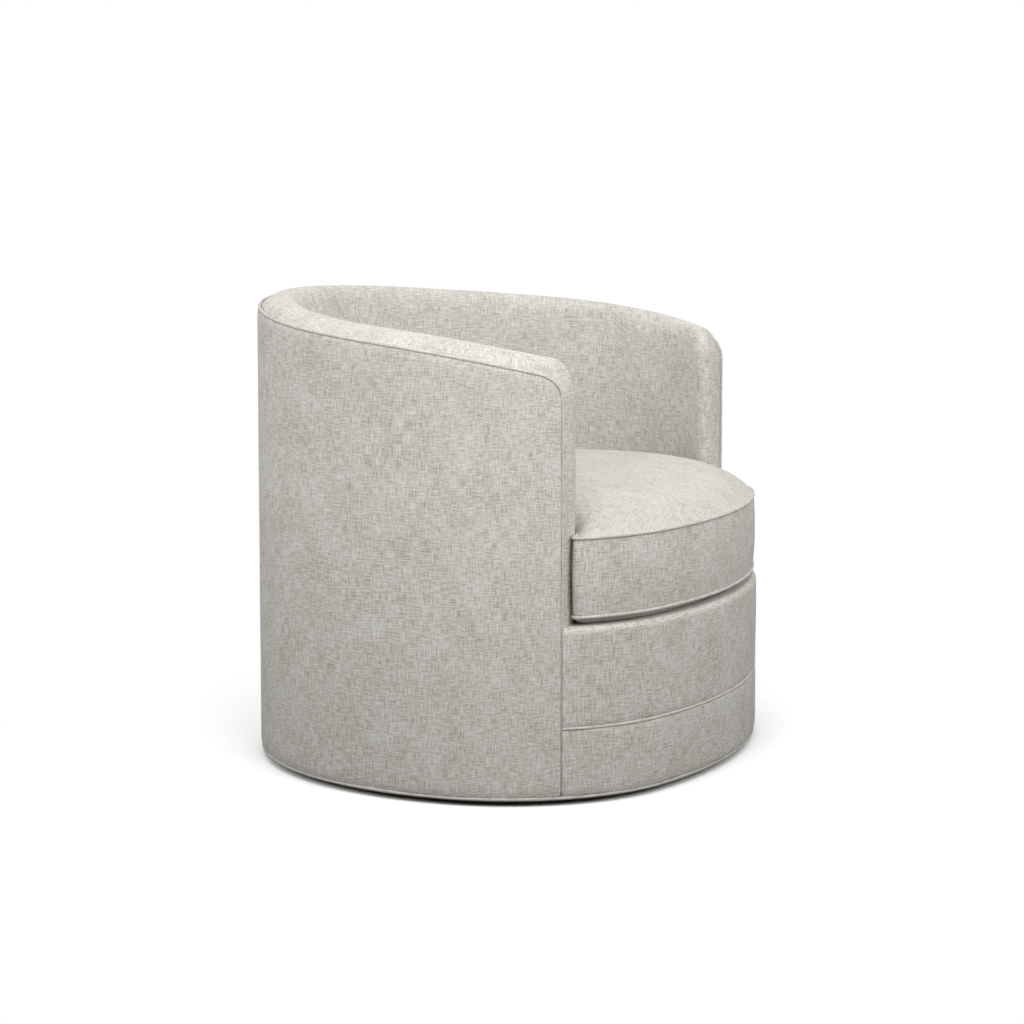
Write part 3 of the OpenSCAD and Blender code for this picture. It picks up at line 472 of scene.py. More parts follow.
def frontSheet(name, profile, cadNode, seed):
    # profile = rows of (inset, height); each is carried along the front of the plan
    look = frontLook
    a = frontAngles()
    inset, z = np.asarray(profile).T
    grown = inset + look["endTuck"] * np.exp(-fromEnds(a) / look["tuckWidth"])
    x, y = planAt(a[:, None], grown)
    wave = ripple(spread(x, y, z), look["waveSize"], seed)
    x, y = planAt(a[:, None], grown + look["wave"] * (look["waveMean"] + wave))
    uv = spread(planRun(a)[:, None], lengthAlong(profile) + z[0]) + [seed * look["weaveShift"], 0]
    obj = makePiece(name, [patch(spread(x, y, z), uv, True)], materials["cover"])
    addSolidify(obj, look["thickness"])
    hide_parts(cadNode)


def tuckAt(distance):
    # how far the cloth turns in at that distance from a welt
    return frontLook["tuck"] * np.exp(-distance / frontLook["tuckWidth"])


def makeFront():
    look = frontLook
    # the lower band is straight and its two ends turn in under the welts
    low = levels["footWelt"] + cord["footR"] + look["gap"]
    high = levels["frontWelt"] - cord["room"]
    z = low + (high - low) * (0.5 - 0.5 * np.cos(np.linspace(0, np.pi, look["lowRows"])))
    band = spread(tuckAt(z - low) + tuckAt(high - z), z)
    frontSheet("front_lower_cloth", band, "front_lower_cover", look["lowSeed"])
    # the upper band goes up from the welt, turns over the rail's edge and runs back under the cushion
    e, deck = look["edge"], levels["deck"]
    bottom = levels["frontWelt"] + cord["room"]
    z = bottom + (deck - e - bottom) * (1 - np.cos(np.linspace(0, np.pi / 2, look["highRows"])))
    t = np.linspace(0, np.pi / 2, look["turnRows"])[1:]
    turn = spread(e - e * np.cos(t), deck - e + e * np.sin(t))
    top = spread(np.linspace(e, look["back"], look["topRows"])[1:], deck - look["topGap"])
    band = np.concatenate([spread(tuckAt(z - bottom), z), turn, top])
    frontSheet("front_upper_cloth", band, "front_upper_cover", look["highSeed"])


makeFront()
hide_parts("front_edge_pad")


# padded rim, inside of the barrel and arm ends

# the rim's section from the welt over the crest to the inner edge, as shares of its width and of its height
sectionShares = (0, 0.05, 0.12, 0.24, 0.42, 0.58, 0.72, 0.84, 0.93, 0.985, 1.0)
sectionUps = (0.02, 0.22, 0.44, 0.68, 0.88, 0.98, 1.0, 0.9, 0.62, 0.18, -0.4)
rimLook = {"edge": 0.0043, "thickness": 0.0028, "innerRound": 0.12, "smoothings": 60, "tableSize": 400,
           "seam": 0.0009, "seamWidth": 0.0028, "seamPower": 1.3,
           "notch": 0.0014, "notchAt": 0.58, "notchWidth": 0.12,
           "mitre": 13, "mitreWelt": 20, "mitreInner": 8, "weltTo": 0.45, "innerFrom": 0.6,
           "wave": 0.0006, "waveSize": 0.12, "waveMean": 0.4, "seed": 21, "calm": 0.02,
           "armWave": 0.0005, "armWaveSize": 0.09, "armSeeds": {1: 41, -1: 47},
           "wallWave": 0.0007, "wallWaveSize": 0.17, "wallSeed": 33, "wallCalm": 0.03, "wallTop": 0.05,
           "gatherDepth": 0.0013, "pullFrom": 0.55, "pullWidth": 0.3,
           "outerFade": 0.12, "armFade": 0.1, "heldFrom": 0.85,
           "footGap": 0.0004, "footIn": 0.55, "footFade": 0.006, "crowd": 1.3,
           "cols": 41, "cornerRows": 14, "around": 100, "wallRows": 40, "armCornerRows": 22, "armRows": 46}
# places round the back, widths and depths of the gathers, in radians and as shares of gatherDepth
gathers = ((2.56, 0.030, 1.0), (2.07, 0.035, 0.8), (3.35, 0.04, 0.6), (4.05, 0.03, 0.8), (1.45, 0.03, 0.35))


def sectionAt(q):
    # the padded rim's section: (inset, height above the welt) at the share q of the way over it, read from its
    # two rows after passes of a 1, 2, 1 mean
    k = np.linspace(0, 1, len(sectionShares))
    fine = np.linspace(0, 1, rimLook["tableSize"])
    table = []
    for values in (sectionShares, sectionUps):
        line = np.interp(fine, k, values)
        for _ in range(rimLook["smoothings"]):
            line[1:-1] = (line[:-2] + 2 * line[1:-1] + line[2:]) / 4
        table.append(np.interp(q, fine, line))
    return rimLook["edge"] + (rim["wall"] - rimLook["edge"]) * table[0], table[1] * rim["crest"]


def endShape(inset, up):
    # how far an arm's end stands out at that inset, and how wide and tall its rounded top corner is;
    # the inner edge falls back along a quarter of an ellipse
    across = (inset - rimLook["edge"]) / (rim["wall"] - rimLook["edge"])
    inner = np.clip((inset - arm["roundFrom"]) / (rim["wall"] - arm["roundFrom"]), 0, 1)
    out = arm["bulge"] * (1 - np.abs(2 * across - 1) ** 3) - arm["round"] * (1 - np.sqrt(1 - inner ** 2))
    crown = np.clip(up / rim["crest"], 0, 1)
    ry = rim["turn"] + (arm["cornerY"] - rim["turn"]) * crown
    rz = rim["turn"] + (arm["cornerZ"] - rim["turn"]) * crown
    return out, ry * (1 - rimLook["innerRound"] * inner), rz


def onCorner(t, up, out, ry, rz):
    # point of the rounded top corner at the turn t, 0 at the top and pi / 2 where it runs down the front
    y = arm["y"] - out + ry * (1 - np.sin(t))
    return y, rimZ(y) + up - rz * (1 - np.cos(t))


def armPoint(inset, y, z, hand):
    # point of an arm at that inset from the outline, depth and height; hand is 1 right and -1 left
    x = planAt(angleAt(y, inset), inset)[0]
    return spread(hand * x, y, z)


def mitreTurn(q):
    # degrees that the mitre seam stands round the corner: least at the crest, more beside the welt and inside
    welt = rimLook["mitreWelt"] * np.clip(1 - q / rimLook["weltTo"], 0, 1) ** 2
    inner = rimLook["mitreInner"] * shareFrom(q, rimLook["innerFrom"])
    return np.radians(rimLook["mitre"] + welt + inner)


def seamDraw(q, away):
    # how far the seam draws the cloth in: shallow, with a small notch at the crest, less with the distance
    notch = np.exp(-((q - rimLook["notchAt"]) / rimLook["notchWidth"]) ** 2)
    depth = rimLook["seam"] + rimLook["notch"] * notch
    return depth * np.exp(-(away / rimLook["seamWidth"]) ** rimLook["seamPower"])


def edgeFade(q, outer):
    # 0 at the section's outer and inner edges, where the cloth is held, and 1 between
    return smoothShare(q / outer) * (1 - shareFrom(q, rimLook["heldFrom"]))


def runAlong(grid):
    # length from the first row to each row, column by column
    steps = np.linalg.norm(np.diff(grid, axis=0), axis=2)
    return np.cumsum(np.concatenate([np.zeros((1, grid.shape[1])), steps]), 0)


def runAcross(grid):
    # length from the first column to each column, row by row
    return runAlong(grid.transpose(1, 0, 2)).T


def surfaceNormals(grid, row, column, axis, hand):
    # unit normals of a grid, turned so that the one at that row and column points to the hand's side
    normal = np.cross(np.gradient(grid, axis=0), np.gradient(grid, axis=1))
    normal /= np.linalg.norm(normal, axis=2, keepdims=True) + 1e-12
    return normal if normal[row, column, axis] * hand >= 0 else -normal


def rimRows(q):
    # the section carried from the mitre over the corner, round the back and down the other corner
    inset, up = sectionAt(q)
    out, ry, rz = endShape(inset, up)
    t = mitreTurn(q) * np.linspace(1, 0, rimLook["cornerRows"])[:, None]
    corner = armPoint(inset, *onCorner(t, up, out, ry, rz), 1)
    a0 = angleAt(arm["y"] - out + ry, inset)
    x, y = planAt(a0 + (np.pi - a0) * np.linspace(0, 1, rimLook["around"])[1:, None], inset)
    return withMirror(np.concatenate([corner, spread(x, y, rimZ(y) + up)]))


def insideWall(edge):
    # from the rim's inner edge down to the deck; the first row runs down the arm end's inner edge
    edge = edge[:len(edge) // 2 + 1]
    inset, up = sectionAt(1.0)
    t = np.linspace(mitreTurn(1.0), np.pi / 2, rimLook["wallRows"])
    borderY, borderZ = onCorner(t, up, *endShape(inset, up))
    down = np.linspace(0, 1, rimLook["wallRows"])[1:] ** rimLook["crowd"]
    z = edge[:, 2, None] + (levels["deck"] + clear - edge[:, 2])[:, None] * down
    border = angleAt(np.interp(z, borderZ[::-1], borderY[::-1]), rim["wall"])
    top = turnAt(edge[:, 0], edge[:, 1])
    a = border + (top - top[0])[:, None] * (np.pi - border) / (np.pi - top[0])
    rimTop = rimZ(edge[:, 1])[:, None]
    # the back leans more and more to the rear, from nothing beside the seat
    lean = rim["pitch"] * np.sin(np.maximum(a - np.pi / 2, 0)) ** 2
    x, y = planAt(a, rim["wall"] + lean * np.clip((rimTop - z) / (rimTop - levels["deck"]), 0, 1))
    return withMirror(spread(x, y, z))


def makeRim():
    look = rimLook
    q = np.linspace(0, 1, look["cols"])
    rows = rimRows(q)
    normal = surfaceNormals(rows, len(rows) // 2, len(q) // 2, 2, 1)
    # puckers where the cloth is drawn round the inside of the rim
    far = np.unwrap(np.arctan2(rows[:, -1, 0], barrelY - rows[:, -1, 1]))
    pucker = sum(depth * np.exp(-((far - place) / width) ** 2) for place, width, depth in gathers)
    pull = smoothShare((q - look["pullFrom"]) / look["pullWidth"]) * edgeFade(q, look["outerFade"])
    run = runAlong(rows)
    away = np.minimum(run, run[-1] - run)
    wave = (ripple(rows, look["waveSize"], look["seed"]) - look["waveMean"]) * smoothShare(away / look["calm"])
    lift = look["wave"] * wave - seamDraw(q, away) - look["gatherDepth"] * pucker[:, None] * pull
    lift = lift * edgeFade(q, look["outerFade"])
    wall = insideWall(rows[:, -1])
    rows = rows + normal * lift[:, :, None]
    run = runAlong(wall)
    drop = np.abs(wall[:, :, 2] - wall[:, :1, 2])
    fade = smoothShare(np.minimum(run, run[-1] - run) / look["wallCalm"])
    fade = fade * smoothShare(drop / look["wallTop"])
    inward = surfaceNormals(wall, len(wall) // 2, 8, 1, -1)
    lift = look["wallWave"] * ripple(wall, look["wallWaveSize"], look["wallSeed"]) * fade
    wall = wall + inward * lift[:, :, None]
    whole = np.concatenate([rows, wall], 1)
    across = runAcross(rows)
    across = np.concatenate([across, across[:, -1:] + drop], 1)
    uv = spread(weaveRun(whole[:, :, 0], whole[:, :, 1]), across) + weaveFrom["inside"]
    obj = makePiece("inside_cloth", [patch(whole, uv)], materials["cover"])
    addSolidify(obj, look["thickness"])
    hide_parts("inside_lining", "inside_foam")


def makeArmEnd(hand, name):
    look = rimLook
    q = np.linspace(0, 1, look["cols"])
    inset, up = sectionAt(q)
    out, ry, rz = endShape(inset, up)
    mitre = mitreTurn(q)
    t = mitre + (np.pi / 2 - mitre) * np.linspace(0, 1, look["armCornerRows"])[:, None] ** look["crowd"]
    y, z = onCorner(t, up, out, ry, rz)
    foot = levels["deck"] + look["footGap"]
    zDown = z[-1] + (foot - z[-1]) * np.linspace(0, 1, look["armRows"])[1:, None]
    footIn = look["footIn"] * np.exp(-(zDown - foot) / look["footFade"])
    footIn = footIn * (1 - shareFrom(q, look["innerFrom"]))
    yDown = arm["y"] - out * (1 - footIn)
    points = armPoint(inset, np.concatenate([y, yDown]), np.concatenate([z, zDown]), hand)
    normal = surfaceNormals(points, 40, 20, 1, -1)
    fall = runAlong(points)
    wave = ripple(points, look["armWaveSize"], look["armSeeds"][hand]) * smoothShare(fall / look["calm"])
    lift = (look["armWave"] * wave - seamDraw(q, fall)) * edgeFade(q, look["armFade"])
    points = points + normal * lift[:, :, None]
    # the weave hangs plumb: it is measured up from the foot
    uv = spread(runAcross(points[-1:]), fall[-1] - fall) + weaveFrom["arm"] + [hand, 0]
    obj = makePiece(name, [patch(points, uv, hand > 0)], materials["cover"])
    addSolidify(obj, look["thickness"])
    return obj


makeRim()
for hand, side in ((1, "right"), (-1, "left")):
    end = makeArmEnd(hand, "arm_end_cloth_" + side)
    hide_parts("arm_end_cover_" + side, "arm_end_pad_" + side)
print("barrel padded")


# welts

def makeCord(welt, path, outward, radius, closed, sides, bodyName="seat_shell"):
    # a sewn cord, a little uneven along its length
    swell = 1 + cord["uneven"] * ripple(path, cord["unevenSize"], cord["seeds"][welt])
    patches = tube(path, outward, radius, closed, sides, swell)
    return makePiece(welt + "_cord", patches, materials["welt"], bodyName)


def makeRimWelt():
    # up beside one arm's front, round its top corner, along the rim and down the other arm
    t = np.linspace(np.pi / 2, 0, cord["cornerRows"])
    r, inset = rim["turn"], cord["inset"]
    cornerY = arm["y"] + r * (1 - np.sin(t))
    cornerZ = rimZ(cornerY) - r * (1 - np.cos(t))
    low = levels["footWelt"] + cord["footR"] + cord["footGap"]
    upright = np.linspace(low, cornerZ[0], cord["uprightRows"])[:-1]
    cornerA = angleAt(cornerY, inset)
    topA = np.linspace(cornerA[-1], np.pi, cord["rimRows"])[1:]
    a = np.concatenate([np.full(len(upright), angleAt(arm["y"], inset)), cornerA, topA])
    z = np.concatenate([upright, cornerZ, rimZ(planAt(topA, inset)[1])])
    path = withMirror(spread(*planAt(a, inset), z))
    obj = makeCord("rim_welt", path, withMirror(outwardAt(a)), cord["r"], False, cord["sides"])
    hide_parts("rim_welt")


def makeBandWelts():
    a = np.linspace(-np.pi, np.pi, cord["footRows"])[:-1]
    path = spread(*planAt(a, cord["footR"] * cord["footIn"]), levels["footWelt"])
    foot = makeCord("foot_welt", path, outwardAt(a), cord["footR"], True, cord["sides"])
    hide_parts("foot_welt")
    a = frontAngles()
    path = spread(*planAt(a, cord["frontInset"]), levels["frontWelt"])
    front = makeCord("front_welt", path, outwardAt(a), cord["r"], False, cord["sides"])
    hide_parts("front_welt")


makeRimWelt()
makeBandWelts()


# deck under the cushion

deckLook = {"inset": 0.0373, "gap": 0.0002, "dip": 0.0035, "between": 0.3, "springPitch": 0.104,
            "thickness": 0.0014, "rings": 40, "around": 241}


def makeDeck():
    # disc of rings scaled about the middle; the cloth dips a little between the springs
    look = deckLook
    share = np.linspace(0, 1, look["rings"])[:, None]
    x, y = (v * share for v in planAt(np.linspace(-np.pi, np.pi, look["around"]), look["inset"]))
    springs = 1 - look["between"] + look["between"] * np.cos(x / look["springPitch"] * 2 * np.pi)
    z = levels["deck"] - look["gap"] - look["dip"] * (1 - share ** 4) * springs
    top = patch(spread(x, y, z), spread(x, y) + weaveFrom["deck"])
    obj = makePiece("deck_cloth", [top], materials["cover"])
    addSolidify(obj, look["thickness"])
    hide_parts("deck_cover", "deck_pad")


makeDeck()


# the loose seat cushion

cushionLook = {"earY": -0.2332, "earR": 0.007, "notch": 0.020, "setIn": 0.0005, "clear": 0.001,
               "hub": (0.0, -0.242), "draw": 0.003, "sideBow": 2.4, "edgeSoft": 0.009,
               "rise": 0.0657, "square": 3.44, "flat": 4.34, "middle": -0.0414,
               "frontReach": 0.3155, "backReach": 0.303, "halfWidth": 0.36, "foot": 0.0146, "footSoft": 0.018,
               "ringEdge": 0.14, "crowd": 1.5, "edgeRings": 16, "rings": 34, "sideRows": 26, "around": 600,
               "frontPoints": 60, "earPoints": 10, "notchPoints": 24, "backPoints": 120, "smoothings": 3}


def cushionOutline(e):
    # bow and corner arcs, a rounded ear and its back edge, a notch round the arm, then along the inside of the
    # barrel, all set in by e
    look = cushionLook
    earY, r = look["earY"], look["earR"]
    out, inner = look["setIn"] + e, rim["wall"] + look["clear"] + e
    tip = float(angleAt(earY - r, out + r))
    cx, cy = planAt(tip, out + r)
    turn = np.linspace(tip, np.pi, look["earPoints"])[1:]
    # the notch follows the arm's rounded inner edge: a quarter of an ellipse in inset and depth
    phi = np.linspace(0, np.pi / 2, look["notchPoints"])
    notchTo = arm["y"] + arm["round"]
    notchInset = look["notch"] + (inner - look["notch"]) * np.sin(phi)
    notchY = earY + (notchTo - earY) * (1 - np.cos(phi))
    a = np.linspace(float(angleAt(notchTo, inner)), np.pi, look["backPoints"])[1:]
    lean = rim["pitch"] * np.sin(np.maximum(a, np.pi / 2) - np.pi / 2) ** 2
    half = np.concatenate([spread(*planAt(np.linspace(0, tip, look["frontPoints"]), out)),
                           spread(cx + r * np.sin(turn), cy - r * np.cos(turn)),
                           spread(*planAt(angleAt(notchY, notchInset), notchInset)),
                           spread(*planAt(a, inner + lean))])
    loop = np.concatenate([half, (half * [-1, 1])[-1:0:-1]])
    run = lengthAlong(loop)
    even = np.linspace(0, run[-1], look["around"] + 1)[:-1]
    loop = spread(*(np.interp(even, run, values) for values in loop.T))
    for _ in range(look["smoothings"]):
        loop = (np.roll(loop, 1, 0) + 2 * loop + np.roll(loop, -1, 0)) / 4
    return loop


def crownShare(x, y):
    # 0 in the middle of the crown and 1 round its edge: a squarish oval, longer to the front
    across = np.abs(x) / cushionLook["halfWidth"]
    ahead = cushionLook["middle"] - y
    along = np.where(ahead > 0, ahead / cushionLook["frontReach"], -ahead / cushionLook["backReach"])
    k = cushionLook["square"]
    return np.minimum(1, (across ** k + along ** k) ** (1 / k))


def ringsAbout(loop, shares):
    # the outline scaled about the hub by each share
    hub = np.array(cushionLook["hub"])
    return hub + (loop - hub) * shares[:, None, None]


def crownRise(rings, loop):
    # height = rise * (1 - crownShare to the power flat) * (1 - e^(-distance from the seam / edgeSoft))
    look = cushionLook
    reach = np.stack([np.linalg.norm(ring[:, None] - loop, axis=2).min(1) for ring in rings])
    crown = 1 - crownShare(rings[:, :, 0], rings[:, :, 1]) ** look["flat"]
    return look["rise"] * crown * (1 - np.exp(-reach / look["edgeSoft"]))


def closeLoop(grid):
    # each ring's first point again at its end
    return np.concatenate([grid, grid[:, :1]], 1)


def makeCushion():
    look = cushionLook
    low, high = levels["cushionLow"], levels["cushionHigh"]
    seam = cushionOutline(look["draw"])
    outer = 1 - np.linspace(0, 1, look["edgeRings"]) ** look["crowd"] * look["ringEdge"]
    rings = ringsAbout(seam, np.concatenate([outer, np.linspace(1 - look["ringEdge"], 0, look["rings"])[1:]]))
    inward = 1 - np.exp(-np.linalg.norm(rings - seam, axis=2) / look["footSoft"])
    top = closeLoop(spread(rings[:, :, 0], rings[:, :, 1], high + crownRise(rings, seam)))
    under = closeLoop(spread(rings[:, :, 0], rings[:, :, 1], low - look["foot"] * inward))
    # the boxing bows out between its seams, from the drawn-in outline to the full one
    t = np.linspace(0, 1, look["sideRows"])[:, None]
    side = seam + (cushionOutline(0.0) - seam) * (1 - np.abs(2 * t - 1) ** look["sideBow"])[:, :, None]
    side = closeLoop(spread(side[:, :, 0], side[:, :, 1], low + (high - low) * t))
    uvSide = spread(lengthAlong(np.append(seam, seam[:1], 0)), t * (high - low)) + weaveFrom["boxing"]
    patches = [patch(top, top[:, :, :2] + weaveFrom["cushionTop"], True),
               patch(under, under[:, :, :2] + weaveFrom["cushionUnder"]), patch(side, uvSide, True)]
    obj = makePiece("seat_cushion_cloth", patches, materials["cover"], "seat_cushion", True)
    # the top panel has the softer cloth
    obj.data.materials.append(materials["cushion"])
    centres = np.zeros(len(obj.data.polygons) * 3)
    obj.data.polygons.foreach_get("center", centres)
    obj.data.polygons.foreach_set("material_index", (centres[2::3] > high).astype(np.int32))
    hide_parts("cushion_core", "cushion_top_panel", "cushion_boxing", "cushion_bottom_panel")
    ahead = np.roll(seam, -1, 0) - np.roll(seam, 1, 0)
    outward = spread(ahead[:, 1], -ahead[:, 0], 0.0) / np.linalg.norm(ahead, axis=1, keepdims=True)
    for name, level in (("cushion_top_welt", high), ("cushion_bottom_welt", low)):
        path = spread(seam[:, 0], seam[:, 1], level)
        welt = makeCord(name, path, outward, cord["r"], True, cord["cushionSides"], "seat_cushion")
        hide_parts(name)


makeCushion()
print("cushion made")


# timber, steel and base: the solids keep their shapes and get their finishes

woodLook = {"rings": 14.0, "detail": 5.0, "ringRough": 0.6, "ringShare": 0.75, "pores": 120.0,
            "edges": (0.30, 0.70), "roughSpan": 0.2, "bump": 0.0003}
metalLook = {"smear": 35.0, "detail": 4.0, "dull": 0.86, "edges": (0.3, 0.75), "roughSpan": 0.25,
             "fine": 900.0, "bump": 0.00004}
plasticLook = {"worn": 24.0, "detail": 3.0, "pale": 1.25, "edges": (0.4, 0.8), "roughSpan": 0.15,
               "fine": 1400.0, "bump": 0.00008}
linerLook = {"dark": (0.018, 0.018, 0.020), "light": (0.045, 0.045, 0.048), "rough": 0.9, "threads": 5200.0,
             "lint": 60.0, "detail": 4.0, "edges": (0.35, 0.8), "bump": 0.0001,
             "inset": 0.0525, "hole": 0.140, "level": 0.0409, "dip": 0.0028, "tackDip": 0.0009, "tacks": 32,
             "rings": 26, "around": 193}


def woodFinish(name, dark, light, grain, rough=0.55):
    # rings and pores, drawn out by the grain's scales
    look = woodLook
    mat, w = newMaterial(name)
    place = w.make("ShaderNodeMapping", inputs={"Vector": objectPlace(w), "Scale": grain})
    pores = place.noise(look["pores"])
    rings = place.noise(look["rings"], look["detail"], look["ringRough"])
    tone = rings * look["ringShare"] + pores * (1 - look["ringShare"])
    colour = tone.step(*look["edges"]).mixed(opaque(dark), opaque(light))
    finishMaterial(w, colour, rough + look["roughSpan"] * (pores - 0.5), tone, look["bump"])
    return mat


def metalFinish(name, colour, rough):
    # dull smears on the metal, and a fine grain
    look = metalLook
    mat, w = newMaterial(name)
    place = objectPlace(w)
    smear = place.noise(look["smear"], look["detail"])
    tint = smear.step(*look["edges"]).mixed(opaque(colour, look["dull"]), opaque(colour))
    fine = place.noise(look["fine"], 1.0)
    finishMaterial(w, tint, rough + look["roughSpan"] * (smear - 0.5), fine, look["bump"], Metallic=1.0)
    return mat


def plasticFinish(name, colour, rough):
    # paler where it is worn, with a fine grain
    look = plasticLook
    mat, w = newMaterial(name)
    place = objectPlace(w)
    worn = place.noise(look["worn"], look["detail"])
    tint = worn.step(*look["edges"]).mixed(opaque(colour), opaque(colour, look["pale"]))
    fine = place.noise(look["fine"], 1.0)
    finishMaterial(w, tint, rough + look["roughSpan"] * (worn - 0.5), fine, look["bump"])
    return mat


def linerFinish():
    # thin black cloth with lint on it
    look = linerLook
    mat, w = newMaterial("black_cambric")
    place = objectPlace(w)
    x = w.make("ShaderNodeSeparateXYZ", inputs={0: place})
    y = Wire(w.tree, x.socket.node.outputs[1])
    weave = w.maths("SINE", x * look["threads"]) * w.maths("SINE", y * look["threads"])
    lint = place.noise(look["lint"], look["detail"]).step(*look["edges"])
    colour = lint.mixed(opaque(look["dark"]), opaque(look["light"]))
    finishMaterial(w, colour, look["rough"], weave, look["bump"])
    return mat


# colours, then the grain's scales for wood, then how rough
finishes = {
    "plywood": woodFinish("birch_plywood", (0.46, 0.31, 0.17), (0.68, 0.50, 0.31), (1, 1, 9)),
    "timber": woodFinish("pale_hardwood", (0.52, 0.36, 0.20), (0.72, 0.55, 0.35), (5, 5, 0.6)),
    "bent_panel": woodFinish("bent_fibreboard", (0.26, 0.17, 0.10), (0.36, 0.25, 0.16), (8, 8, 8), 0.75),
    "dark_base": woodFinish("dark_stained_board", (0.030, 0.022, 0.017), (0.075, 0.055, 0.042), (1.2, 9, 9),
                            0.42),
    "spring_wire": metalFinish("drawn_spring_wire", (0.33, 0.34, 0.36), 0.42),
    "clip_steel": metalFinish("clip_strip", (0.62, 0.63, 0.65), 0.35),
    "plate_steel": metalFinish("pressed_plate_steel", (0.42, 0.43, 0.45), 0.40),
    "fixing_steel": metalFinish("screw_steel", (0.30, 0.31, 0.33), 0.38),
    "bolt_steel": metalFinish("bolt_steel", (0.52, 0.53, 0.55), 0.30),
    "cage_brass": metalFinish("yellow_passivated_strip", (0.66, 0.50, 0.22), 0.34),
    "ball_steel": metalFinish("polished_ball_steel", (0.80, 0.81, 0.83), 0.10),
    "glide_plastic": plasticFinish("glide_nylon", (0.045, 0.045, 0.050), 0.5),
    "black_cambric": linerFinish(),
}
slots = {part["node"]: part["material_slot"] for part in frame["record"]["subparts"]}
for name, obj in nodes.items():
    finish = finishes.get(slots[name])
    if finish and obj.data.materials:
        obj.data.materials[0] = finish
    elif finish:
        obj.data.materials.append(finish)


# black cambric under the seat

def makeLiner():
    # rings from the hole round the swivel plate to the outline; the cloth dips a little between its tacks
    look = linerLook
    a = np.linspace(-np.pi, np.pi, look["around"])
    x1, y1 = planAt(a, look["inset"])
    turn = np.arctan2(x1, -y1)
    x0, y0 = look["hole"] * np.sin(turn), -look["hole"] * np.cos(turn)
    share = np.linspace(0, 1, look["rings"])[:, None]
    tacks = look["tackDip"] * share ** 6 * (1 - np.cos(a * look["tacks"]))
    z = look["level"] - look["dip"] * np.sin(np.pi * share) - tacks
    points = spread(x0 + (x1 - x0) * share, y0 + (y1 - y0) * share, z)
    liner = patch(points, points[:, :, :2])
    obj = makePiece("dust_cover_cloth", [liner], finishes["black_cambric"])
    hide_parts("dust_cover")


makeLiner()
print("finishes set")


# studio: pale floor, soft lamps, and the photograph's camera

studio = {"floorSize": 9.0, "world": 1.07, "floor": 0.97, "floorSpeck": 1.01, "bounce": 0.10,
          "white": (0.50, 0.80), "flagRadius": 1.5, "flagFoot": 0.001, "flagHeight": 0.38, "flagShade": 0.005,
          "flagSides": 96, "floorGrain": 40.0, "floorEdges": (0.2, 0.8),
          "lamps": (("front_lamp", (-1.6, -4.2, 2.4), 2.4, 90.0),  # name, place, width, watts
                    ("back_lamp", (-3.4, 2.8, 2.2), 2.4, 42.0),
                    ("near_lamp", (-1.45, -0.5, 1.75), 1.3, 10.8),
                    ("low_lamp", (-1.9, 0.75, 1.05), 1.0, 5.1)),
          "aim": (0.0, 0.0, 0.35), "eye": (-4.282389, -1.639130, 0.951549),
          "look": (0.926996, 0.352191, -0.128998), "lens": 107.776, "sensor": 36.0, "clip": (0.05, 200.0)}


def grey(level):
    return (level, level, level, 1)


def makeStageMesh(name, points, faces, material):
    # a mesh of the studio, which isn't part of the chair
    mesh = bpy.data.meshes.new(name)
    mesh.from_pydata(points.tolist(), [], faces.tolist())
    mesh.materials.append(material)
    obj = bpy.data.objects.new(name, mesh)
    scene.collection.objects.link(obj)
    return obj


def makeFloor():
    # white to the camera, with the chair's soft shadow near it; to the chair a duller floor that bounces less
    mat, w = newMaterial("pale_floor")
    place = objectPlace(w)
    away = w.make("ShaderNodeVectorMath", {"operation": "LENGTH"}, {0: place}, "Value")
    camera = w.make("ShaderNodeLightPath", output="Is Camera Ray")
    level = studio["floor"]
    grain = place.noise(studio["floorGrain"]).step(*studio["floorEdges"])
    tone = grain.mixed(grey(level), grey(level * studio["floorSpeck"]))
    matt = w.make("ShaderNodeBsdfDiffuse", inputs={"Color": camera.mixed(grey(studio["bounce"]), tone)})
    glow = w.make("ShaderNodeEmission", inputs={"Color": grey(1), "Strength": 1.0})
    fade = away.step(*studio["white"]) * camera
    both = w.make("ShaderNodeMixShader", inputs={0: fade, 1: matt, 2: glow})
    w.make("ShaderNodeOutputMaterial", inputs={"Surface": both})
    corners = np.array([(-1, -1, 0), (1, -1, 0), (1, 1, 0), (-1, 1, 0)]) * studio["floorSize"]
    floor = makeStageMesh("studio_floor", corners, np.arange(4)[None], mat)


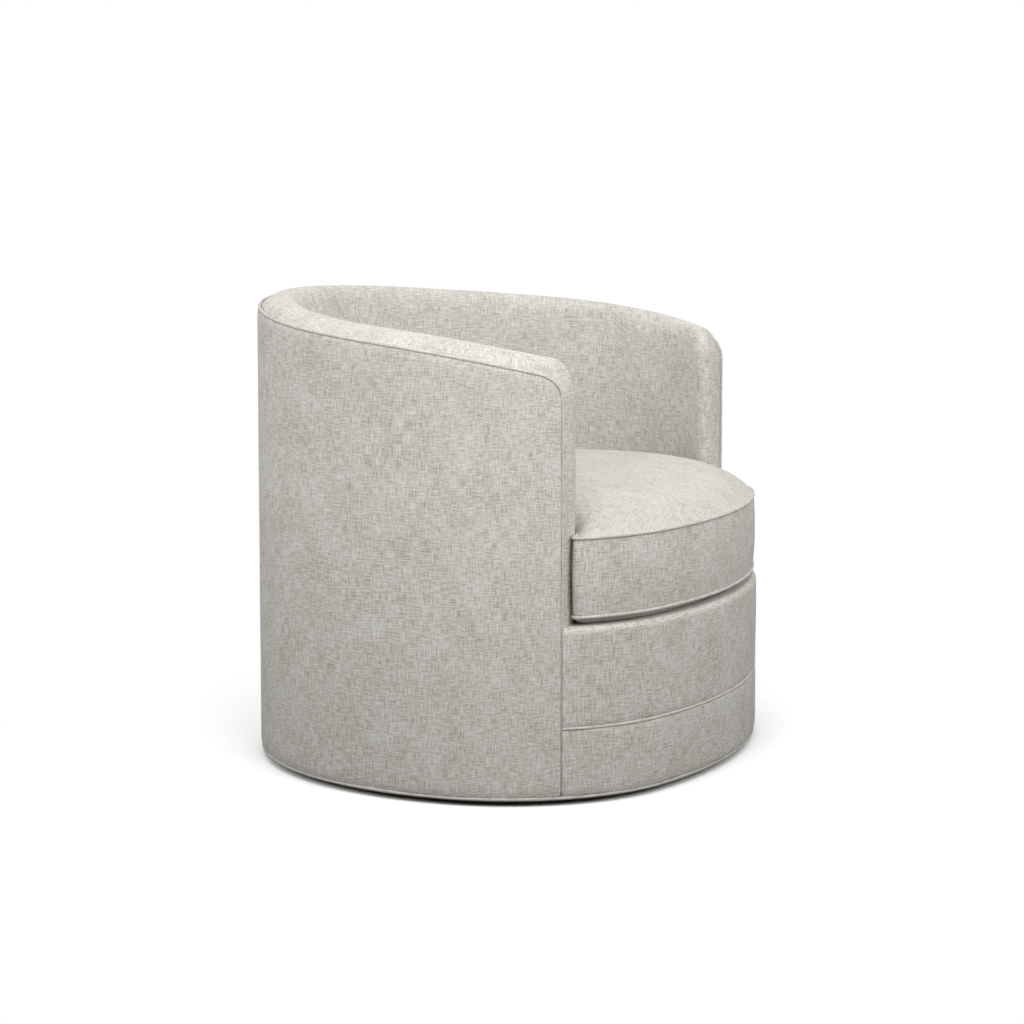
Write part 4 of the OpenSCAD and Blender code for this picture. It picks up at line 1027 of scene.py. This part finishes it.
def makeFlag():
    # a ring of black cloth on the floor, out of the picture: it keeps light from the lowest part of the walls
    mat, w = newMaterial("black_flag_cloth")
    matt = w.make("ShaderNodeBsdfDiffuse", inputs={"Color": grey(studio["flagShade"])})
    w.make("ShaderNodeOutputMaterial", inputs={"Surface": matt})
    i = np.arange(studio["flagSides"])
    after = (i + 1) % len(i)
    a = i * 2 * np.pi / len(i)
    x, y = studio["flagRadius"] * np.cos(a), studio["flagRadius"] * np.sin(a)
    points = np.concatenate([spread(x, y, studio["flagFoot"]), spread(x, y, studio["flagHeight"])])
    flag = makeStageMesh("studio_flag", points, spread(i, after, after + len(i), i + len(i)), mat)
    flag.visible_camera = False


def makeWorld():
    world = bpy.data.worlds.new("soft_white_room")
    scene.world = world
    world.use_nodes = True
    world.node_tree.nodes.clear()
    w = Wire(world.node_tree)
    camera = w.make("ShaderNodeLightPath", output="Is Camera Ray")
    room = w.make("ShaderNodeBackground", inputs={"Color": grey(1), "Strength": studio["world"]})
    white = w.make("ShaderNodeBackground", inputs={"Color": grey(1), "Strength": 1.0})
    both = w.make("ShaderNodeMixShader", inputs={0: camera, 1: room, 2: white})
    w.make("ShaderNodeOutputWorld", inputs={"Surface": both})


def aimed(name, data, place, direction):
    # an object at that place whose own -Z axis points along the direction
    x, y, z = (float(v) for v in direction)
    obj = bpy.data.objects.new(name, data)
    obj.location = place
    obj.rotation_euler = (math.atan2(math.hypot(x, y), -z), 0, math.atan2(-x, y))
    scene.collection.objects.link(obj)
    return obj


def makeLamps():
    for name, place, width, power in studio["lamps"]:
        light = bpy.data.lights.new(name, "AREA")
        light.shape, light.size, light.energy = "DISK", width, power
        lamp = aimed(name, light, place, np.array(studio["aim"]) - place)
        lamp.visible_camera = False


def makeCamera():
    data = bpy.data.cameras.new("camera")
    data.lens, data.sensor_width, data.sensor_fit = studio["lens"], studio["sensor"], "HORIZONTAL"
    data.clip_start, data.clip_end = studio["clip"]
    scene.camera = aimed("camera", data, studio["eye"], studio["look"])


makeFloor()
makeFlag()
makeWorld()
makeLamps()
makeCamera()
scene.view_settings.view_transform = "Standard"
print("studio set")

bpy.context.view_layer.update()
